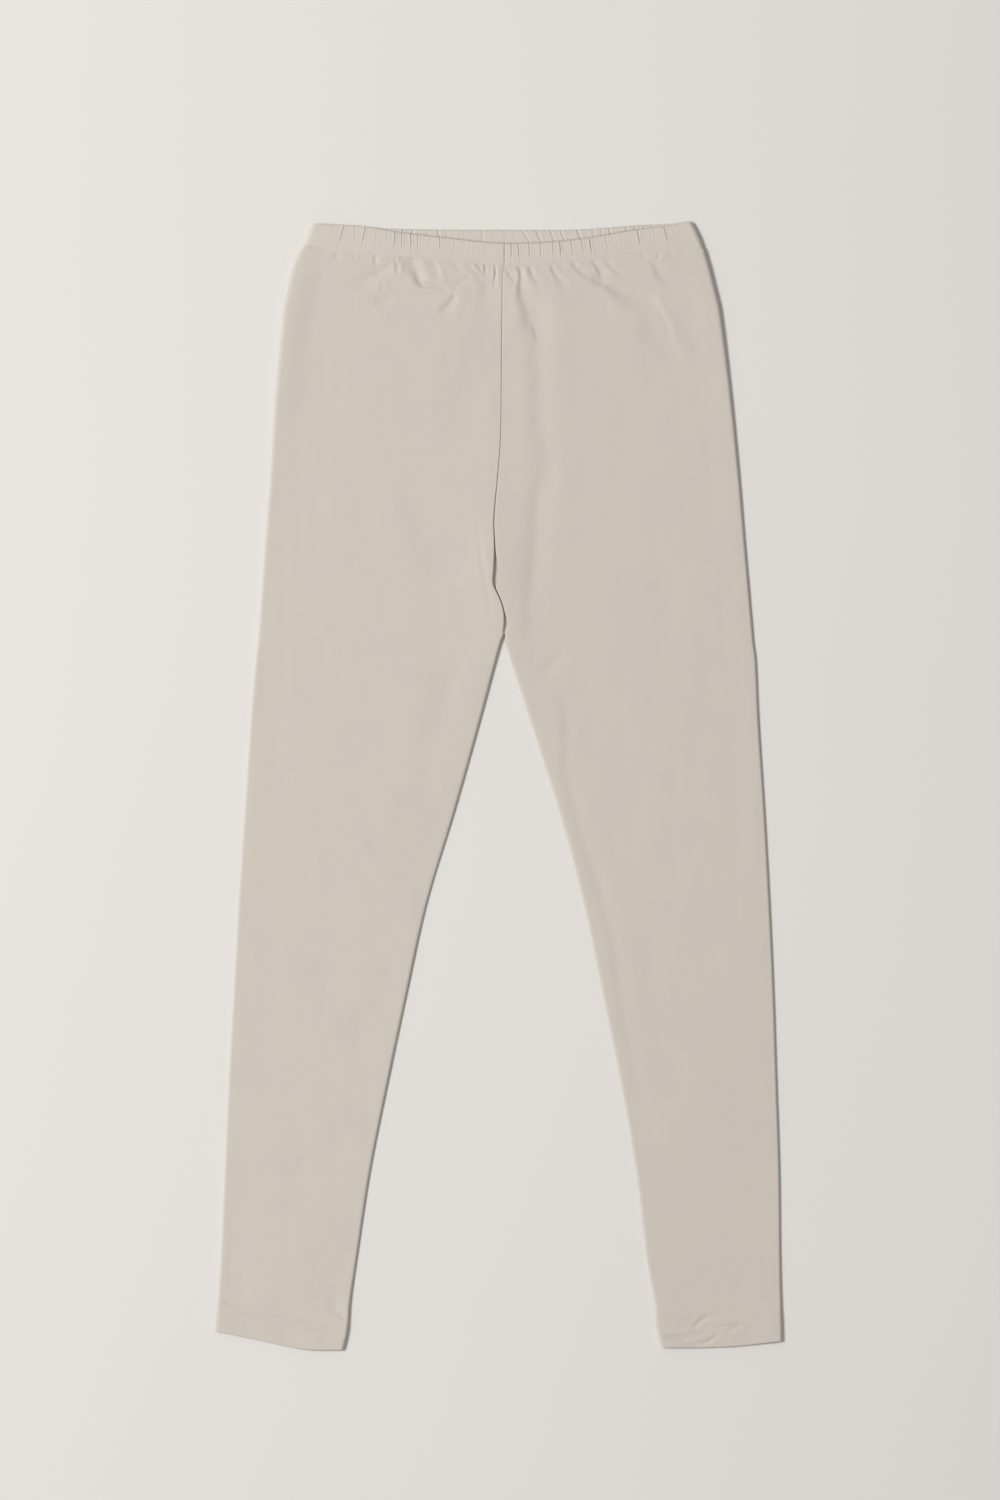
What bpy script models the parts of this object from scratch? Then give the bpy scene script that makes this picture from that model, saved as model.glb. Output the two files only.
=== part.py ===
"""Leggings laid flat with the front up. X runs across, +Y towards the waist, Z up from where they lie.

The wearer's right leg lies at -X. Each leg is one cut piece. It wraps round the outside of the leg, from the
centre front seam to the centre back seam, and it closes on itself at the inseam below the crotch. The
waistband is the casing of an elastic, in two halves that meet at the centre seams, and each leg ends in a
turned-up hem. Tables and sizes are in millimetres, and the meshes are in metres.
"""
from collections import namedtuple
from math import cos
from math import exp
from math import pi
from math import sin

import bmesh
import bpy

MM = 0.001

# Cloth, seams and heights
JERSEY_WALL = 1.2
HEM_WALL = 1.8
CASING_WALL = 3.0
SEAM_GAP = 0.3
CROTCH_Y = 134.0
WAIST_JOIN_Y = 458.0
BAND_SEAM_X = 5.3
BAND_CAVITY = 1.2
FOLD_SHARE = 0.54
COLUMNS_CROWD = 0.6
BAND_FOLD_WIDTH = 4.2
EDGE_RISE = 26.0
BACK_CLOSES = 12.0

# Outline of each leg: the x of its outer fold and of its inner fold, from hem to crotch and on to the waist
Edge = namedtuple("Edge", "y outer inner")
RIGHT_LEG_EDGES = [
    Edge(-497.0, -249.4, -136.8),
    Edge(-480.0, -249.2, -132.8),
    Edge(-454.0, -246.8, -130.6),
    Edge(-418.0, -244.4, -125.4),
    Edge(-338.0, -240.7, -113.1),
    Edge(-259.0, -237.2, -97.2),
    Edge(-180.0, -232.8, -80.5),
    Edge(-101.0, -228.4, -62.9),
    Edge(-22.0, -223.1, -38.9),
    Edge(58.0, -217.8, -16.3),
    Edge(110.0, -213.4, -4.0),
    Edge(127.0, -211.4, 0.6),
    Edge(134.0, -210.8, 5.4),
]
LEFT_LEG_EDGES = [
    Edge(-497.0, 248.8, 144.6),
    Edge(-480.0, 249.4, 140.4),
    Edge(-458.0, 248.6, 138.4),
    Edge(-418.0, 247.7, 130.9),
    Edge(-338.0, 246.8, 121.0),
    Edge(-259.0, 244.2, 107.2),
    Edge(-180.0, 241.6, 91.1),
    Edge(-101.0, 238.0, 74.4),
    Edge(-22.0, 233.6, 53.2),
    Edge(58.0, 228.4, 27.7),
    Edge(110.0, 226.0, 11.0),
    Edge(127.0, 223.8, 6.8),
    Edge(134.0, 223.3, 5.4),
]
LEG_EDGES = {"right": RIGHT_LEG_EDGES, "left": LEFT_LEG_EDGES}

# Outer fold of each side from the crotch to the waist
HipEdge = namedtuple("HipEdge", "y right left")
HIP_EDGES = [
    HipEdge(134.0, -210.8, 223.3),
    HipEdge(207.0, -205.5, 216.9),
    HipEdge(278.0, -200.2, 210.8),
    HipEdge(348.0, -195.8, 203.7),
    HipEdge(418.0, -188.8, 194.8),
    HipEdge(436.0, -185.2, 190.5),
    HipEdge(457.0, -180.0, 185.2),
    HipEdge(475.0, -172.4, 179.6),
]

# Centre seams: the x at each height, as the front seam wanders over the straight back seam
Seam = namedtuple("Seam", "y front back")
CENTRE_SEAM = [
    Seam(134.0, 5.4, 5.4),
    Seam(147.0, 5.6, 5.2),
    Seam(158.0, 3.4, 5.1),
    Seam(170.0, 0.4, 5.0),
    Seam(190.0, -2.6, 4.8),
    Seam(233.0, -4.0, 4.6),
    Seam(279.0, -0.1, 4.6),
    Seam(303.0, 1.7, 4.8),
    Seam(357.0, 2.6, 5.0),
    Seam(440.0, 3.4, 5.2),
    Seam(470.0, 5.3, 5.3),
]

# Height of the top surface at the outer fold, on the flat and at the inner lip, the width of the lip, and the
# height at which the front's edge lies in the centre seam, down in the valley that deepens towards the crotch
Rise = namedtuple("Rise", "y outer middle inner lip seam")
RISES = [
    Rise(-490.0, 5.2, 4.5, 5.2, 2.8, 2.6),
    Rise(-455.0, 5.2, 4.4, 5.2, 2.8, 2.6),
    Rise(-400.0, 4.9, 3.5, 4.9, 3.2, 2.45),
    Rise(-200.0, 5.0, 3.3, 5.0, 3.6, 2.5),
    Rise(60.0, 5.2, 3.3, 5.4, 4.2, 2.7),
    Rise(134.0, 5.4, 3.4, 6.2, 5.0, 3.1),
    Rise(160.0, 5.4, 3.4, 6.2, 6.0, 2.8),
    Rise(220.0, 5.6, 3.4, 5.6, 8.0, 2.7),
    Rise(300.0, 5.8, 3.5, 4.4, 9.0, 2.9),
    Rise(370.0, 6.2, 3.8, 4.0, 6.0, 3.6),
    Rise(420.0, 6.6, 4.7, 4.6, 4.0, 4.4),
    Rise(458.0, 6.8, 6.2, 6.1, 3.0, 5.9),
]

# Hems: how far across from the outer fold, the stitch line and the folded end
Hem = namedtuple("Hem", "across stitch end")
HEMS = {
    "right": [
        Hem(0.0, -454.0, -480.5),
        Hem(0.35, -464.0, -488.5),
        Hem(0.7, -472.0, -496.0),
        Hem(1.0, -476.0, -496.5),
    ],
    "left": [
        Hem(0.0, -459.5, -489.0),
        Hem(0.35, -467.5, -493.0),
        Hem(0.65, -469.0, -494.4),
        Hem(1.0, -458.0, -494.4),
    ],
}

# Waistband: its stitched lower edge and its upper edge, in front and behind, at each x
BandLine = namedtuple("BandLine", "x front_low front_top back_low back_top")
BAND_LINES = [
    BandLine(-170.0, 476.1, 493.6, 474.0, 493.6),
    BandLine(-147.0, 470.0, 492.9, 471.0, 492.9),
    BandLine(-116.0, 467.4, 491.0, 469.6, 490.8),
    BandLine(-87.0, 466.0, 486.4, 469.0, 489.6),
    BandLine(-52.0, 462.4, 482.2, 468.6, 489.0),
    BandLine(-1.0, 458.0, 476.8, 468.2, 488.8),
    BandLine(30.0, 457.2, 476.8, 468.2, 488.8),
    BandLine(66.0, 461.0, 479.6, 469.0, 489.0),
    BandLine(94.0, 463.4, 483.6, 470.0, 490.6),
    BandLine(122.0, 468.0, 488.6, 471.4, 492.8),
    BandLine(153.0, 470.2, 492.4, 472.6, 494.4),
    BandLine(181.0, 471.2, 499.1, 472.6, 499.1),
]
BandEnd = namedtuple("BandEnd", "low top")
BAND_ENDS = {"right": BandEnd(-169.6, -163.8), "left": BandEnd(181.0, 170.2)}

# Gathers of the waistband: where each groove crosses its top and its lower edge, and how deep it is
Gather = namedtuple("Gather", "top low depth")
FRONT_GATHERS = [
    Gather(-150.0, -154.0, 0.3), Gather(-135.0, -142.0, 0.8), Gather(-126.0, -127.0, 0.4),
    Gather(-116.0, -121.0, 0.7), Gather(-107.0, -108.5, 0.3), Gather(-97.5, -98.5, 0.3),
    Gather(-90.3, -92.0, 0.7), Gather(-84.8, -84.8, 0.6), Gather(-77.0, -76.0, 0.9),
    Gather(-70.6, -70.6, 0.6), Gather(-60.5, -61.0, 0.3), Gather(-51.5, -50.5, 0.7),
    Gather(-38.0, -39.0, 0.3), Gather(-25.0, -26.0, 0.3), Gather(-12.0, -12.5, 0.3),
    Gather(11.5, 11.5, 0.6), Gather(17.4, 19.0, 0.7), Gather(27.0, 28.2, 0.6),
    Gather(37.4, 37.4, 0.5), Gather(48.0, 48.6, 0.6), Gather(54.0, 55.5, 1.0),
    Gather(63.8, 66.4, 0.7), Gather(73.0, 76.0, 0.7), Gather(80.1, 83.0, 1.0),
    Gather(94.2, 97.6, 0.5), Gather(108.0, 110.0, 0.3), Gather(122.0, 126.3, 0.9),
    Gather(133.0, 136.0, 0.3), Gather(145.4, 151.4, 0.9), Gather(158.0, 164.0, 0.3),
]
BACK_GATHERS = [
    Gather(-151.0, -153.0, 0.4), Gather(-139.0, -140.0, 0.6), Gather(-127.0, -128.0, 0.4),
    Gather(-112.0, -113.0, 0.6), Gather(-97.0, -97.0, 0.5), Gather(-84.0, -82.0, 0.7),
    Gather(-76.0, -71.5, 0.7), Gather(-62.0, -61.0, 0.4), Gather(-53.0, -51.0, 0.7),
    Gather(-45.5, -44.5, 0.4), Gather(-30.0, -29.0, 0.3), Gather(-14.5, -13.0, 0.5),
    Gather(19.8, 29.0, 0.8), Gather(33.6, 39.0, 0.7), Gather(45.6, 50.4, 0.7),
    Gather(54.6, 59.8, 0.7), Gather(69.0, 74.0, 0.8), Gather(83.6, 85.0, 0.5),
    Gather(90.4, 92.0, 0.5), Gather(97.2, 100.3, 0.7), Gather(112.2, 114.4, 0.6),
    Gather(120.1, 121.4, 0.5), Gather(128.0, 129.2, 0.6), Gather(135.6, 137.0, 0.5),
    Gather(143.4, 145.0, 0.5), Gather(157.0, 160.0, 0.4),
]
# Section of the waistband across its wall: the share of its height and of its thickness
BandPoint = namedtuple("BandPoint", "height depth")
BAND_SECTION = [BandPoint(0.0, 0.2), BandPoint(0.0, 0.75), BandPoint(0.14, 1.0), BandPoint(0.5, 1.0),
                BandPoint(0.86, 1.0), BandPoint(1.0, 0.72), BandPoint(1.0, 0.28), BandPoint(0.86, 0.0),
                BandPoint(0.14, 0.0)]
BAND_FULLNESS = 0.2
GROOVE_ENDS = 0.12
SIDE_STEPS = 7
PLAIN_STEP = 9.0
GROOVE_HALF_WIDTH = 1.6
GROOVE_FADES_BELOW_BAND = 16.0
PLEAT_HALF_WIDTH = 4.5
PLEAT_SHARE = 1.1

# Largest folds of the front: soft troughs from one point to the other, the depth in the middle and half width
Trough = namedtuple("Trough", "x0 y0 x1 y1 depth half")
TROUGHS = [
    Trough(19.0, 456.0, 18.5, 436.0, 1.1, 5.0),
    Trough(18.5, 436.0, 30.0, 404.0, 1.0, 8.0),
    Trough(30.0, 404.0, 31.0, 320.0, 0.7, 11.0),
    Trough(34.0, 320.0, 28.0, 180.0, 0.7, 12.0),
    Trough(84.0, 460.0, 97.0, 442.0, 1.2, 5.0),
    Trough(97.0, 442.0, 126.0, 431.0, 1.2, 6.0),
    Trough(66.0, 460.0, 86.0, 446.0, 0.9, 5.0),
    Trough(130.0, 399.0, 156.0, 365.0, 0.8, 9.0),
    Trough(-79.0, 462.0, -74.0, 444.0, 1.2, 6.0),
    Trough(-74.0, 444.0, -44.0, 436.0, 1.2, 5.0),
    Trough(-40.0, 432.0, -52.0, 417.0, 0.9, 5.0),
    Trough(-108.0, 461.0, -90.0, 458.0, 0.9, 6.0),
    Trough(60.0, 62.0, 75.0, -48.0, 0.6, 9.0),
    Trough(75.0, -48.0, 104.0, -150.0, 0.6, 9.0),
    Trough(104.0, -150.0, 124.0, -285.0, 0.5, 8.0),
    Trough(-22.0, 231.0, -9.0, 152.0, 0.7, 8.0),
]

# Mesh layout of a leg: columns run from the front's seam edge over the front, round the outer fold and along
# the back
COLUMNS = {"front_end": 4, "front": 9, "side": 6, "back": 6, "back_end": 4}
LEG_ROWS = [-454, -440, -418, -378, -320, -259, -195, -130, -66, -4, 50, 88, 110, 122, 130, 134, 138.5, 143,
            149, 156, 164, 174, 188, 206, 228, 252, 278, 306, 338, 370, 394, 410, 424, 436, 445, 452, 458]
HEM_ROWS = 3
HEM_BLEND = 70.0
WAIST_BLEND = 60.0
WAIST_STEPS = 6
GATHERED_FROM = 410
GATHERED_CUTS = 4
WELD = 0.001
ON_ROW = 0.01

CLOTH_COLOUR = (0.58, 0.53, 0.47, 1.0)
CLOTH_ROUGHNESS = 0.9
SHARP_ANGLE = 1.0
SIDES = {"right": -1.0, "left": 1.0}


def smooth(t):
    """A ramp from 0 to 1 that starts and ends level."""
    t = min(max(t, 0.0), 1.0)
    return t * t * (3.0 - 2.0 * t)


def slope(rows, column, i):
    """The slope of a table's curve at row i, from the rows on both sides of it."""
    before, after = rows[max(i - 1, 0)], rows[min(i + 1, len(rows) - 1)]
    return (getattr(after, column) - getattr(before, column)) / (after[0] - before[0])


def read(rows, column, at):
    """A table's column on the smooth curve through its rows, where its first column equals at."""
    at = min(max(at, rows[0][0]), rows[-1][0])
    i = 0
    while i < len(rows) - 2 and at > rows[i + 1][0]:
        i += 1
    start, end = rows[i], rows[i + 1]
    span = end[0] - start[0]
    t = (at - start[0]) / span
    a, b = getattr(start, column), getattr(end, column)
    lift = smooth(t)
    into = t * (1.0 - t) ** 2 * span * slope(rows, column, i)
    out = t * t * (t - 1.0) * span * slope(rows, column, i + 1)
    return a + (b - a) * lift + into + out


def outer_x(side, y):
    """The x of the outer fold."""
    if y > CROTCH_Y:
        return read(HIP_EDGES, side, y)
    return read(LEG_EDGES[side], "outer", y)


def inner_x(side, y, layer):
    """The x of the inner fold, or above the crotch of the centre seam's edge in that layer."""
    half_gap = SIDES[side] * SEAM_GAP / 2
    if y > CROTCH_Y:
        return read(CENTRE_SEAM, layer, y) + half_gap
    return read(LEG_EDGES[side], "inner", y) + half_gap


def trough_depth(x, y):
    """How far the largest folds lower the front at a point."""
    depth = 0.0
    for fold in TROUGHS:
        run = (fold.x1 - fold.x0, fold.y1 - fold.y0)
        length = run[0] ** 2 + run[1] ** 2
        along = ((x - fold.x0) * run[0] + (y - fold.y0) * run[1]) / length
        along = min(max(along, 0.0), 1.0)
        off = (x - fold.x0 - along * run[0]) ** 2 + (y - fold.y0 - along * run[1]) ** 2
        depth = max(depth, fold.depth * exp(-off / fold.half ** 2))
    return depth


def pleat_depth(x, y, layer):
    """How far the pleats that run down from the waistband's gathers lower the cloth at a point."""
    low = read(BAND_LINES, layer + "_low", x)
    fade = smooth(1.0 - (low - y) / GROOVE_FADES_BELOW_BAND)
    gathers = FRONT_GATHERS if layer == "front" else BACK_GATHERS
    depth = sum(g.depth * exp(-((x - g.low) / PLEAT_HALF_WIDTH) ** 2) for g in gathers)
    return PLEAT_SHARE * depth * fade


def zone_of(u):
    """The zone of the section that column u lies in, and how far along it, from 0 to 1."""
    for zone, count in COLUMNS.items():
        if u <= count:
            return zone, u / count
        u -= count
    return zone, 1.0


def section_point(side, y, zone, t):
    """The outside of a leg's cloth at height y, for one place round its section."""
    s = SIDES[side]
    rise = {name: read(RISES, name, y) for name in Rise._fields[1:]}
    layer = "back" if zone.startswith("back") else "front"
    inner, outer = inner_x(side, y, layer), outer_x(side, y)
    opened = smooth((y - CROTCH_Y) / BACK_CLOSES) if y > CROTCH_Y else 0.0
    if zone == "front_end":
        turn = t * pi / 2
        x = inner + s * rise["lip"] * (1 - cos(turn))
        return x, rise["seam"] + (rise["inner"] - rise["seam"]) * sin(turn)
    if zone == "back_end":
        turn = (1 - t) * pi / 2
        x = inner + s * rise["lip"] * (1 - cos(turn))
        return x, rise["seam"] * (1 - opened) * (1 - sin(turn))
    if zone == "side":
        turn = pi / 2 - t * pi
        x = outer - s * FOLD_SHARE * rise["outer"] * (1 - cos(turn))
        return x, rise["outer"] / 2 * (1 + sin(turn))
    lip, fold = inner + s * rise["lip"], outer - s * FOLD_SHARE * rise["outer"]
    spread = crowded(t)
    if zone == "back":
        return fold + (lip - fold) * spread, 0.0
    x = lip + (fold - lip) * spread
    from_lip, from_fold = smooth(1 - abs(x - lip) / EDGE_RISE), smooth(1 - abs(x - fold) / EDGE_RISE)
    z = rise["middle"]
    z += (rise["inner"] - rise["middle"]) * from_lip
    z += (rise["outer"] - rise["middle"]) * from_fold
    ends = (1 - from_lip) * (1 - from_fold)
    return x, z - trough_depth(x, y) * ends - pleat_depth(x, y, "front") * (1 - from_fold)


def crowded(t):
    """Places the columns of a layer, closer together towards its two folds."""
    return t + COLUMNS_CROWD * ((1 - cos(pi * t)) / 2 - t)


def across_of(zone, t):
    """How far a place of the section lies from the outer fold, 1 at the inner edge."""
    if zone == "side":
        return 0.0
    if zone.endswith("end"):
        return 1.0
    return 1 - crowded(t) if zone == "front" else crowded(t)


def leg_point(side, u, v):
    """The outside of the leg's cloth at column u and row v."""
    zone, t = zone_of(u)
    across = across_of(zone, t)
    i = min(int(v), len(LEG_ROWS) - 2)
    y = LEG_ROWS[i] + (LEG_ROWS[i + 1] - LEG_ROWS[i]) * (v - i)
    from_hem = smooth(1 - (y - LEG_ROWS[0]) / HEM_BLEND)
    y += from_hem * (read(HEMS[side], "stitch", across) + SEAM_GAP / 2 - LEG_ROWS[0])
    to_waist = smooth(1 - (WAIST_JOIN_Y - y) / WAIST_BLEND)
    level = y
    x, z = section_point(side, y, zone, t)
    for _ in range(WAIST_STEPS if to_waist > 0 else 0):
        y = level + to_waist * (waist_join(x, zone, t) - SEAM_GAP - WAIST_JOIN_Y)
        x, z = section_point(side, y, zone, t)
    return x, y, z


def waist_join(x, zone, t):
    """The y of the waistband's lower edge over a place of the section, passing to the back round the fold."""
    front, back = read(BAND_LINES, "front_low", x), read(BAND_LINES, "back_low", x)
    if zone == "side":
        return front + (back - front) * (1 - sin(pi / 2 - t * pi)) / 2
    return back if zone.startswith("back") else front


def hem_point(side, u, v):
    """The outside of the turned-up hem at column u and row v, from its folded end up to its stitch line."""
    zone, t = zone_of(u)
    across = across_of(zone, t)
    end = read(HEMS[side], "end", across)
    stitch = read(HEMS[side], "stitch", across) - SEAM_GAP / 2
    y = end + (stitch - end) * v / HEM_ROWS
    x, z = section_point(side, y, zone, t)
    return x, y, z


def cloth_material():
    """The off-white jersey of every piece."""
    material = bpy.data.materials.new("jersey")
    material.use_nodes = True
    shader = material.node_tree.nodes["Principled BSDF"]
    shader.inputs["Base Color"].default_value = CLOTH_COLOUR
    shader.inputs["Roughness"].default_value = CLOTH_ROUGHNESS
    return material


def finish(bm, name, material, wall=None):
    """Make a named object of a mesh drawn in millimetres, and give a sheet its wall."""
    bmesh.ops.scale(bm, vec=(MM, MM, MM), verts=bm.verts)
    mesh = bpy.data.meshes.new(name)
    bm.to_mesh(mesh)
    bm.free()
    mesh.materials.append(material)
    mesh.shade_smooth()
    mesh.set_sharp_from_angle(angle=SHARP_ANGLE)
    piece = bpy.data.objects.new(name, mesh)
    bpy.context.scene.collection.objects.link(piece)
    if wall:
        solid = piece.modifiers.new("wall", "SOLIDIFY")
        solid.thickness = wall * MM
        solid.offset = -1.0
        solid.use_even_offset = True
        solid.use_quality_normals = True
    return piece


def wrapped_sheet(side, columns, rows, place, cuts_above=None):
    """A flat grid of columns and rows, cut finer near its top where asked, and wrapped by place."""
    bm = bmesh.new()
    bmesh.ops.create_grid(bm, x_segments=columns, y_segments=rows, size=0.5)
    for vert in bm.verts:
        vert.co.x = round((vert.co.x + 0.5) * columns, 4)
        vert.co.y = round((vert.co.y + 0.5) * rows, 4)
    if cuts_above is not None:
        first, last = COLUMNS["front_end"], columns - COLUMNS["back_end"]
        layers = [(first, first + COLUMNS["front"]), (last - COLUMNS["back"], last)]
        edges = [e for e in bm.edges if crosses_gathers(e, cuts_above, layers)]
        bmesh.ops.subdivide_edges(bm, edges=edges, cuts=GATHERED_CUTS, use_grid_fill=True)
    for vert in bm.verts:
        vert.co = place(side, vert.co.x, vert.co.y)
    if SIDES[side] < 0:
        bmesh.ops.reverse_faces(bm, faces=bm.faces)
    bmesh.ops.remove_doubles(bm, verts=bm.verts, dist=WELD)
    bmesh.ops.triangulate(bm, faces=[f for f in bm.faces if len(f.verts) > 4])
    return bm


def crosses_gathers(edge, above, layers):
    """Whether a grid edge runs along the waist in the front or back layer, above a row."""
    a, b = edge.verts[0].co, edge.verts[1].co
    level = abs(a.y - b.y) < ON_ROW
    low, high = min(a.x, b.x), max(a.x, b.x)
    return level and a.y > above - ON_ROW and any(first <= low and high <= last for first, last in layers)


def leg(side, material):
    """One leg piece, from its hem seam to the waistband."""
    columns = sum(COLUMNS.values())
    rows = len(LEG_ROWS) - 1
    bm = wrapped_sheet(side, columns, rows, leg_point, cuts_above=LEG_ROWS.index(GATHERED_FROM))
    finish(bm, "leg_" + side, material, JERSEY_WALL)


def hem(side, material):
    """One turned-up hem."""
    bm = wrapped_sheet(side, sum(COLUMNS.values()), HEM_ROWS, hem_point)
    finish(bm, "hem_" + side, material, HEM_WALL)


def band_stations(side, layer):
    """The stations of one layer of a waistband half, from the seam outwards: top x, low x and groove."""
    s = SIDES[side]
    gathers = FRONT_GATHERS if layer == "front" else BACK_GATHERS
    seam = BAND_SEAM_X + s * SEAM_GAP / 2
    stations = [Gather(seam, seam, 0.0)]
    for gather in sorted((g for g in gathers if s * (g.low - BAND_SEAM_X) > 0), key=lambda g: s * g.low):
        for step, depth in ((-1, 0.0), (0, gather.depth), (1, 0.0)):
            shift = s * step * GROOVE_HALF_WIDTH
            stations.append(Gather(gather.top + shift, gather.low + shift, depth))
    end = BAND_ENDS[side]
    stations.append(Gather(end.top - s * BAND_FOLD_WIDTH, end.low - s * BAND_FOLD_WIDTH, 0.0))
    filled = []
    for a, b in zip(stations, stations[1:]):
        filled.append(a)
        if abs(b.low - a.low) > PLAIN_STEP:
            filled.append(Gather((a.top + b.top) / 2, (a.low + b.low) / 2, 0.0))
    return filled + [stations[-1]]


def band_ring(side, layer, station, turn=None):
    """The closed section of the waistband at a station, or at a turn of the outer fold from front to back."""
    s = SIDES[side]
    ring = []
    for point in BAND_SECTION:
        x = station.low + (station.top - station.low) * point.height
        full = CASING_WALL * (1 - BAND_FULLNESS + BAND_FULLNESS * sin(pi * point.height))
        thick = full * point.depth
        low_f, top_f = read(BAND_LINES, "front_low", x), read(BAND_LINES, "front_top", x)
        low_b, top_b = read(BAND_LINES, "back_low", x), read(BAND_LINES, "back_top", x)
        middle = CASING_WALL + BAND_CAVITY / 2
        groove = station.depth * sin(pi * min(max(point.height, GROOVE_ENDS), 1 - GROOVE_ENDS))
        if turn is not None:
            share = (1 - sin(turn)) / 2
            radius = BAND_CAVITY / 2 + thick
            x += s * cos(turn) * (BAND_FOLD_WIDTH - CASING_WALL + thick)
            low, top = low_f + (low_b - low_f) * share, top_f + (top_b - top_f) * share
            z = middle + radius * sin(turn)
        elif layer == "front":
            low, top = low_f, top_f
            z = CASING_WALL + BAND_CAVITY + thick - groove * point.depth
        else:
            low, top = low_b, top_b
            z = full - thick - groove * (1 - point.depth)
        low += SEAM_GAP / 3
        ring.append((x, low + (top - low) * point.height, z))
    return ring


def waistband(side, material):
    """One half of the waistband, from the front seam round the outer fold and back to the back seam."""
    front = band_stations(side, "front")
    back = band_stations(side, "back")
    rings = [band_ring(side, "front", station) for station in front]
    for step in range(1, SIDE_STEPS):
        rings.append(band_ring(side, "front", front[-1], pi / 2 - pi * step / SIDE_STEPS))
    rings += [band_ring(side, "back", station) for station in reversed(back)]
    bm = bmesh.new()
    bmesh.ops.create_grid(bm, x_segments=len(BAND_SECTION), y_segments=len(rings) - 1, size=0.5)
    for vert in bm.verts:
        column = round((vert.co.x + 0.5) * len(BAND_SECTION)) % len(BAND_SECTION)
        row = round((vert.co.y + 0.5) * (len(rings) - 1))
        vert.co = rings[row][column]
    bmesh.ops.remove_doubles(bm, verts=bm.verts, dist=WELD)
    bmesh.ops.holes_fill(bm, edges=[e for e in bm.edges if e.is_boundary], sides=0)
    bmesh.ops.recalc_face_normals(bm, faces=bm.faces)
    finish(bm, "waistband_" + side, material)


def main():
    """Build the pieces in an empty scene."""
    for old in list(bpy.data.objects):
        bpy.data.objects.remove(old)
    material = cloth_material()
    for side in SIDES:
        leg(side, material)
        hem(side, material)
        waistband(side, material)


main()
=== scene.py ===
"""The looks of a pair of leggings laid flat with the front up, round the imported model.

X runs across, +Y towards the waist, Z up from the floor. The wearer's right leg lies at -X. Each leg is one
cut piece of jersey that wraps round the outside of the leg, from the centre front seam to the centre back
seam. The waistband is a gathered casing in two halves, and each leg ends in a turned-up hem. Two rows of
stitches run along the waistband and along each hem. Tables and sizes are in millimetres, and the meshes are
in metres.
"""
from collections import namedtuple
from math import pi, radians

import bmesh
import bpy
import numpy as np
from mathutils import Matrix, Vector, noise


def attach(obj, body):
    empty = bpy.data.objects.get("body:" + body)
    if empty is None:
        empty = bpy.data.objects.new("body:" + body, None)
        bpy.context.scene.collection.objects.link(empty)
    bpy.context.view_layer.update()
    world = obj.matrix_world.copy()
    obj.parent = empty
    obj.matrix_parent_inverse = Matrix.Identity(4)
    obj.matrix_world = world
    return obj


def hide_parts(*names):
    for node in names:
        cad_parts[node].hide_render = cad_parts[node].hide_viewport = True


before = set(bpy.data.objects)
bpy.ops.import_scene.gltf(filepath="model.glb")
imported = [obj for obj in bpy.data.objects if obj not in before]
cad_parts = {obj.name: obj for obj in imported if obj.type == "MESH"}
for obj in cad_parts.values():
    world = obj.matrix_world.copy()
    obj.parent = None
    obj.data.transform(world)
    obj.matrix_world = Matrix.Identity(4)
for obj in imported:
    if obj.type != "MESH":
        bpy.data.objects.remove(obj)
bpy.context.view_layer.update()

MM = 0.001

# Cloth, seams and heights
JERSEY_WALL = 1.0
HEM_WALL = 1.7
CASING_WALL = 3.0
HALF_GAP = 0.03
CROTCH_Y = 134.0
WAIST_JOIN_Y = 458.0
BAND_SEAM_X = 5.3
BAND_CAVITY = 1.2
FOLD_SHARE = 0.54
BAND_FOLD_WIDTH = 4.2
BAND_FULLNESS = 0.2
EDGE_RISE = 26.0
SEAM_RISE = 40.0
BACK_CLOSES = 12.0
HEM_BLEND = 70.0
WAIST_BLEND = 60.0
WAIST_STEPS = 6

# Outline of each leg: the x of its outer fold and of its inner fold, from hem to crotch and on to the waist
Edge = namedtuple("Edge", "y outer inner")
RIGHT_LEG_EDGES = [Edge(*row) for row in (
    (-497, -249.4, -136.8),
    (-480, -249.2, -132.8),
    (-454, -246.8, -130.6),
    (-418, -244.4, -125.4),
    (-338, -240.7, -113.1),
    (-259, -237.2, -97.2),
    (-180, -232.8, -80.5),
    (-101, -228.4, -62.9),
    (-22, -223.1, -38.9),
    (58, -217.8, -16.3),
    (110, -213.4, -2.4),
    (127, -211.4, 2.4),
    (134, -210.8, 5.4),
)]
LEFT_LEG_EDGES = [Edge(*row) for row in (
    (-497, 248.8, 143.6),
    (-486, 249.3, 141),
    (-474, 249.1, 138.6),
    (-458, 248.6, 137.8),
    (-418, 247.7, 130.9),
    (-338, 246.8, 121),
    (-259, 244.2, 107.2),
    (-180, 241.6, 91.1),
    (-101, 238, 74.4),
    (-22, 233.6, 53.2),
    (58, 228.4, 27.7),
    (110, 226, 11),
    (127, 223.8, 6.2),
    (134, 223.3, 5.4),
)]
LEG_EDGES = {"right": RIGHT_LEG_EDGES, "left": LEFT_LEG_EDGES}

# Outer fold of each side from the crotch to the waist
HipEdge = namedtuple("HipEdge", "y right left")
HIP_EDGES = [HipEdge(*row) for row in (
    (134, -210.8, 223.3),
    (207, -205.5, 216.9),
    (278, -200.2, 210.8),
    (348, -195.8, 203.7),
    (418, -188.8, 194.8),
    (436, -185.2, 190.5),
    (457, -180, 185.2),
    (470.5, -173.8, 181.1),
    (474, -171.3, 179.9),
    (476, -170.2, 179.5),
)]

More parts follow.
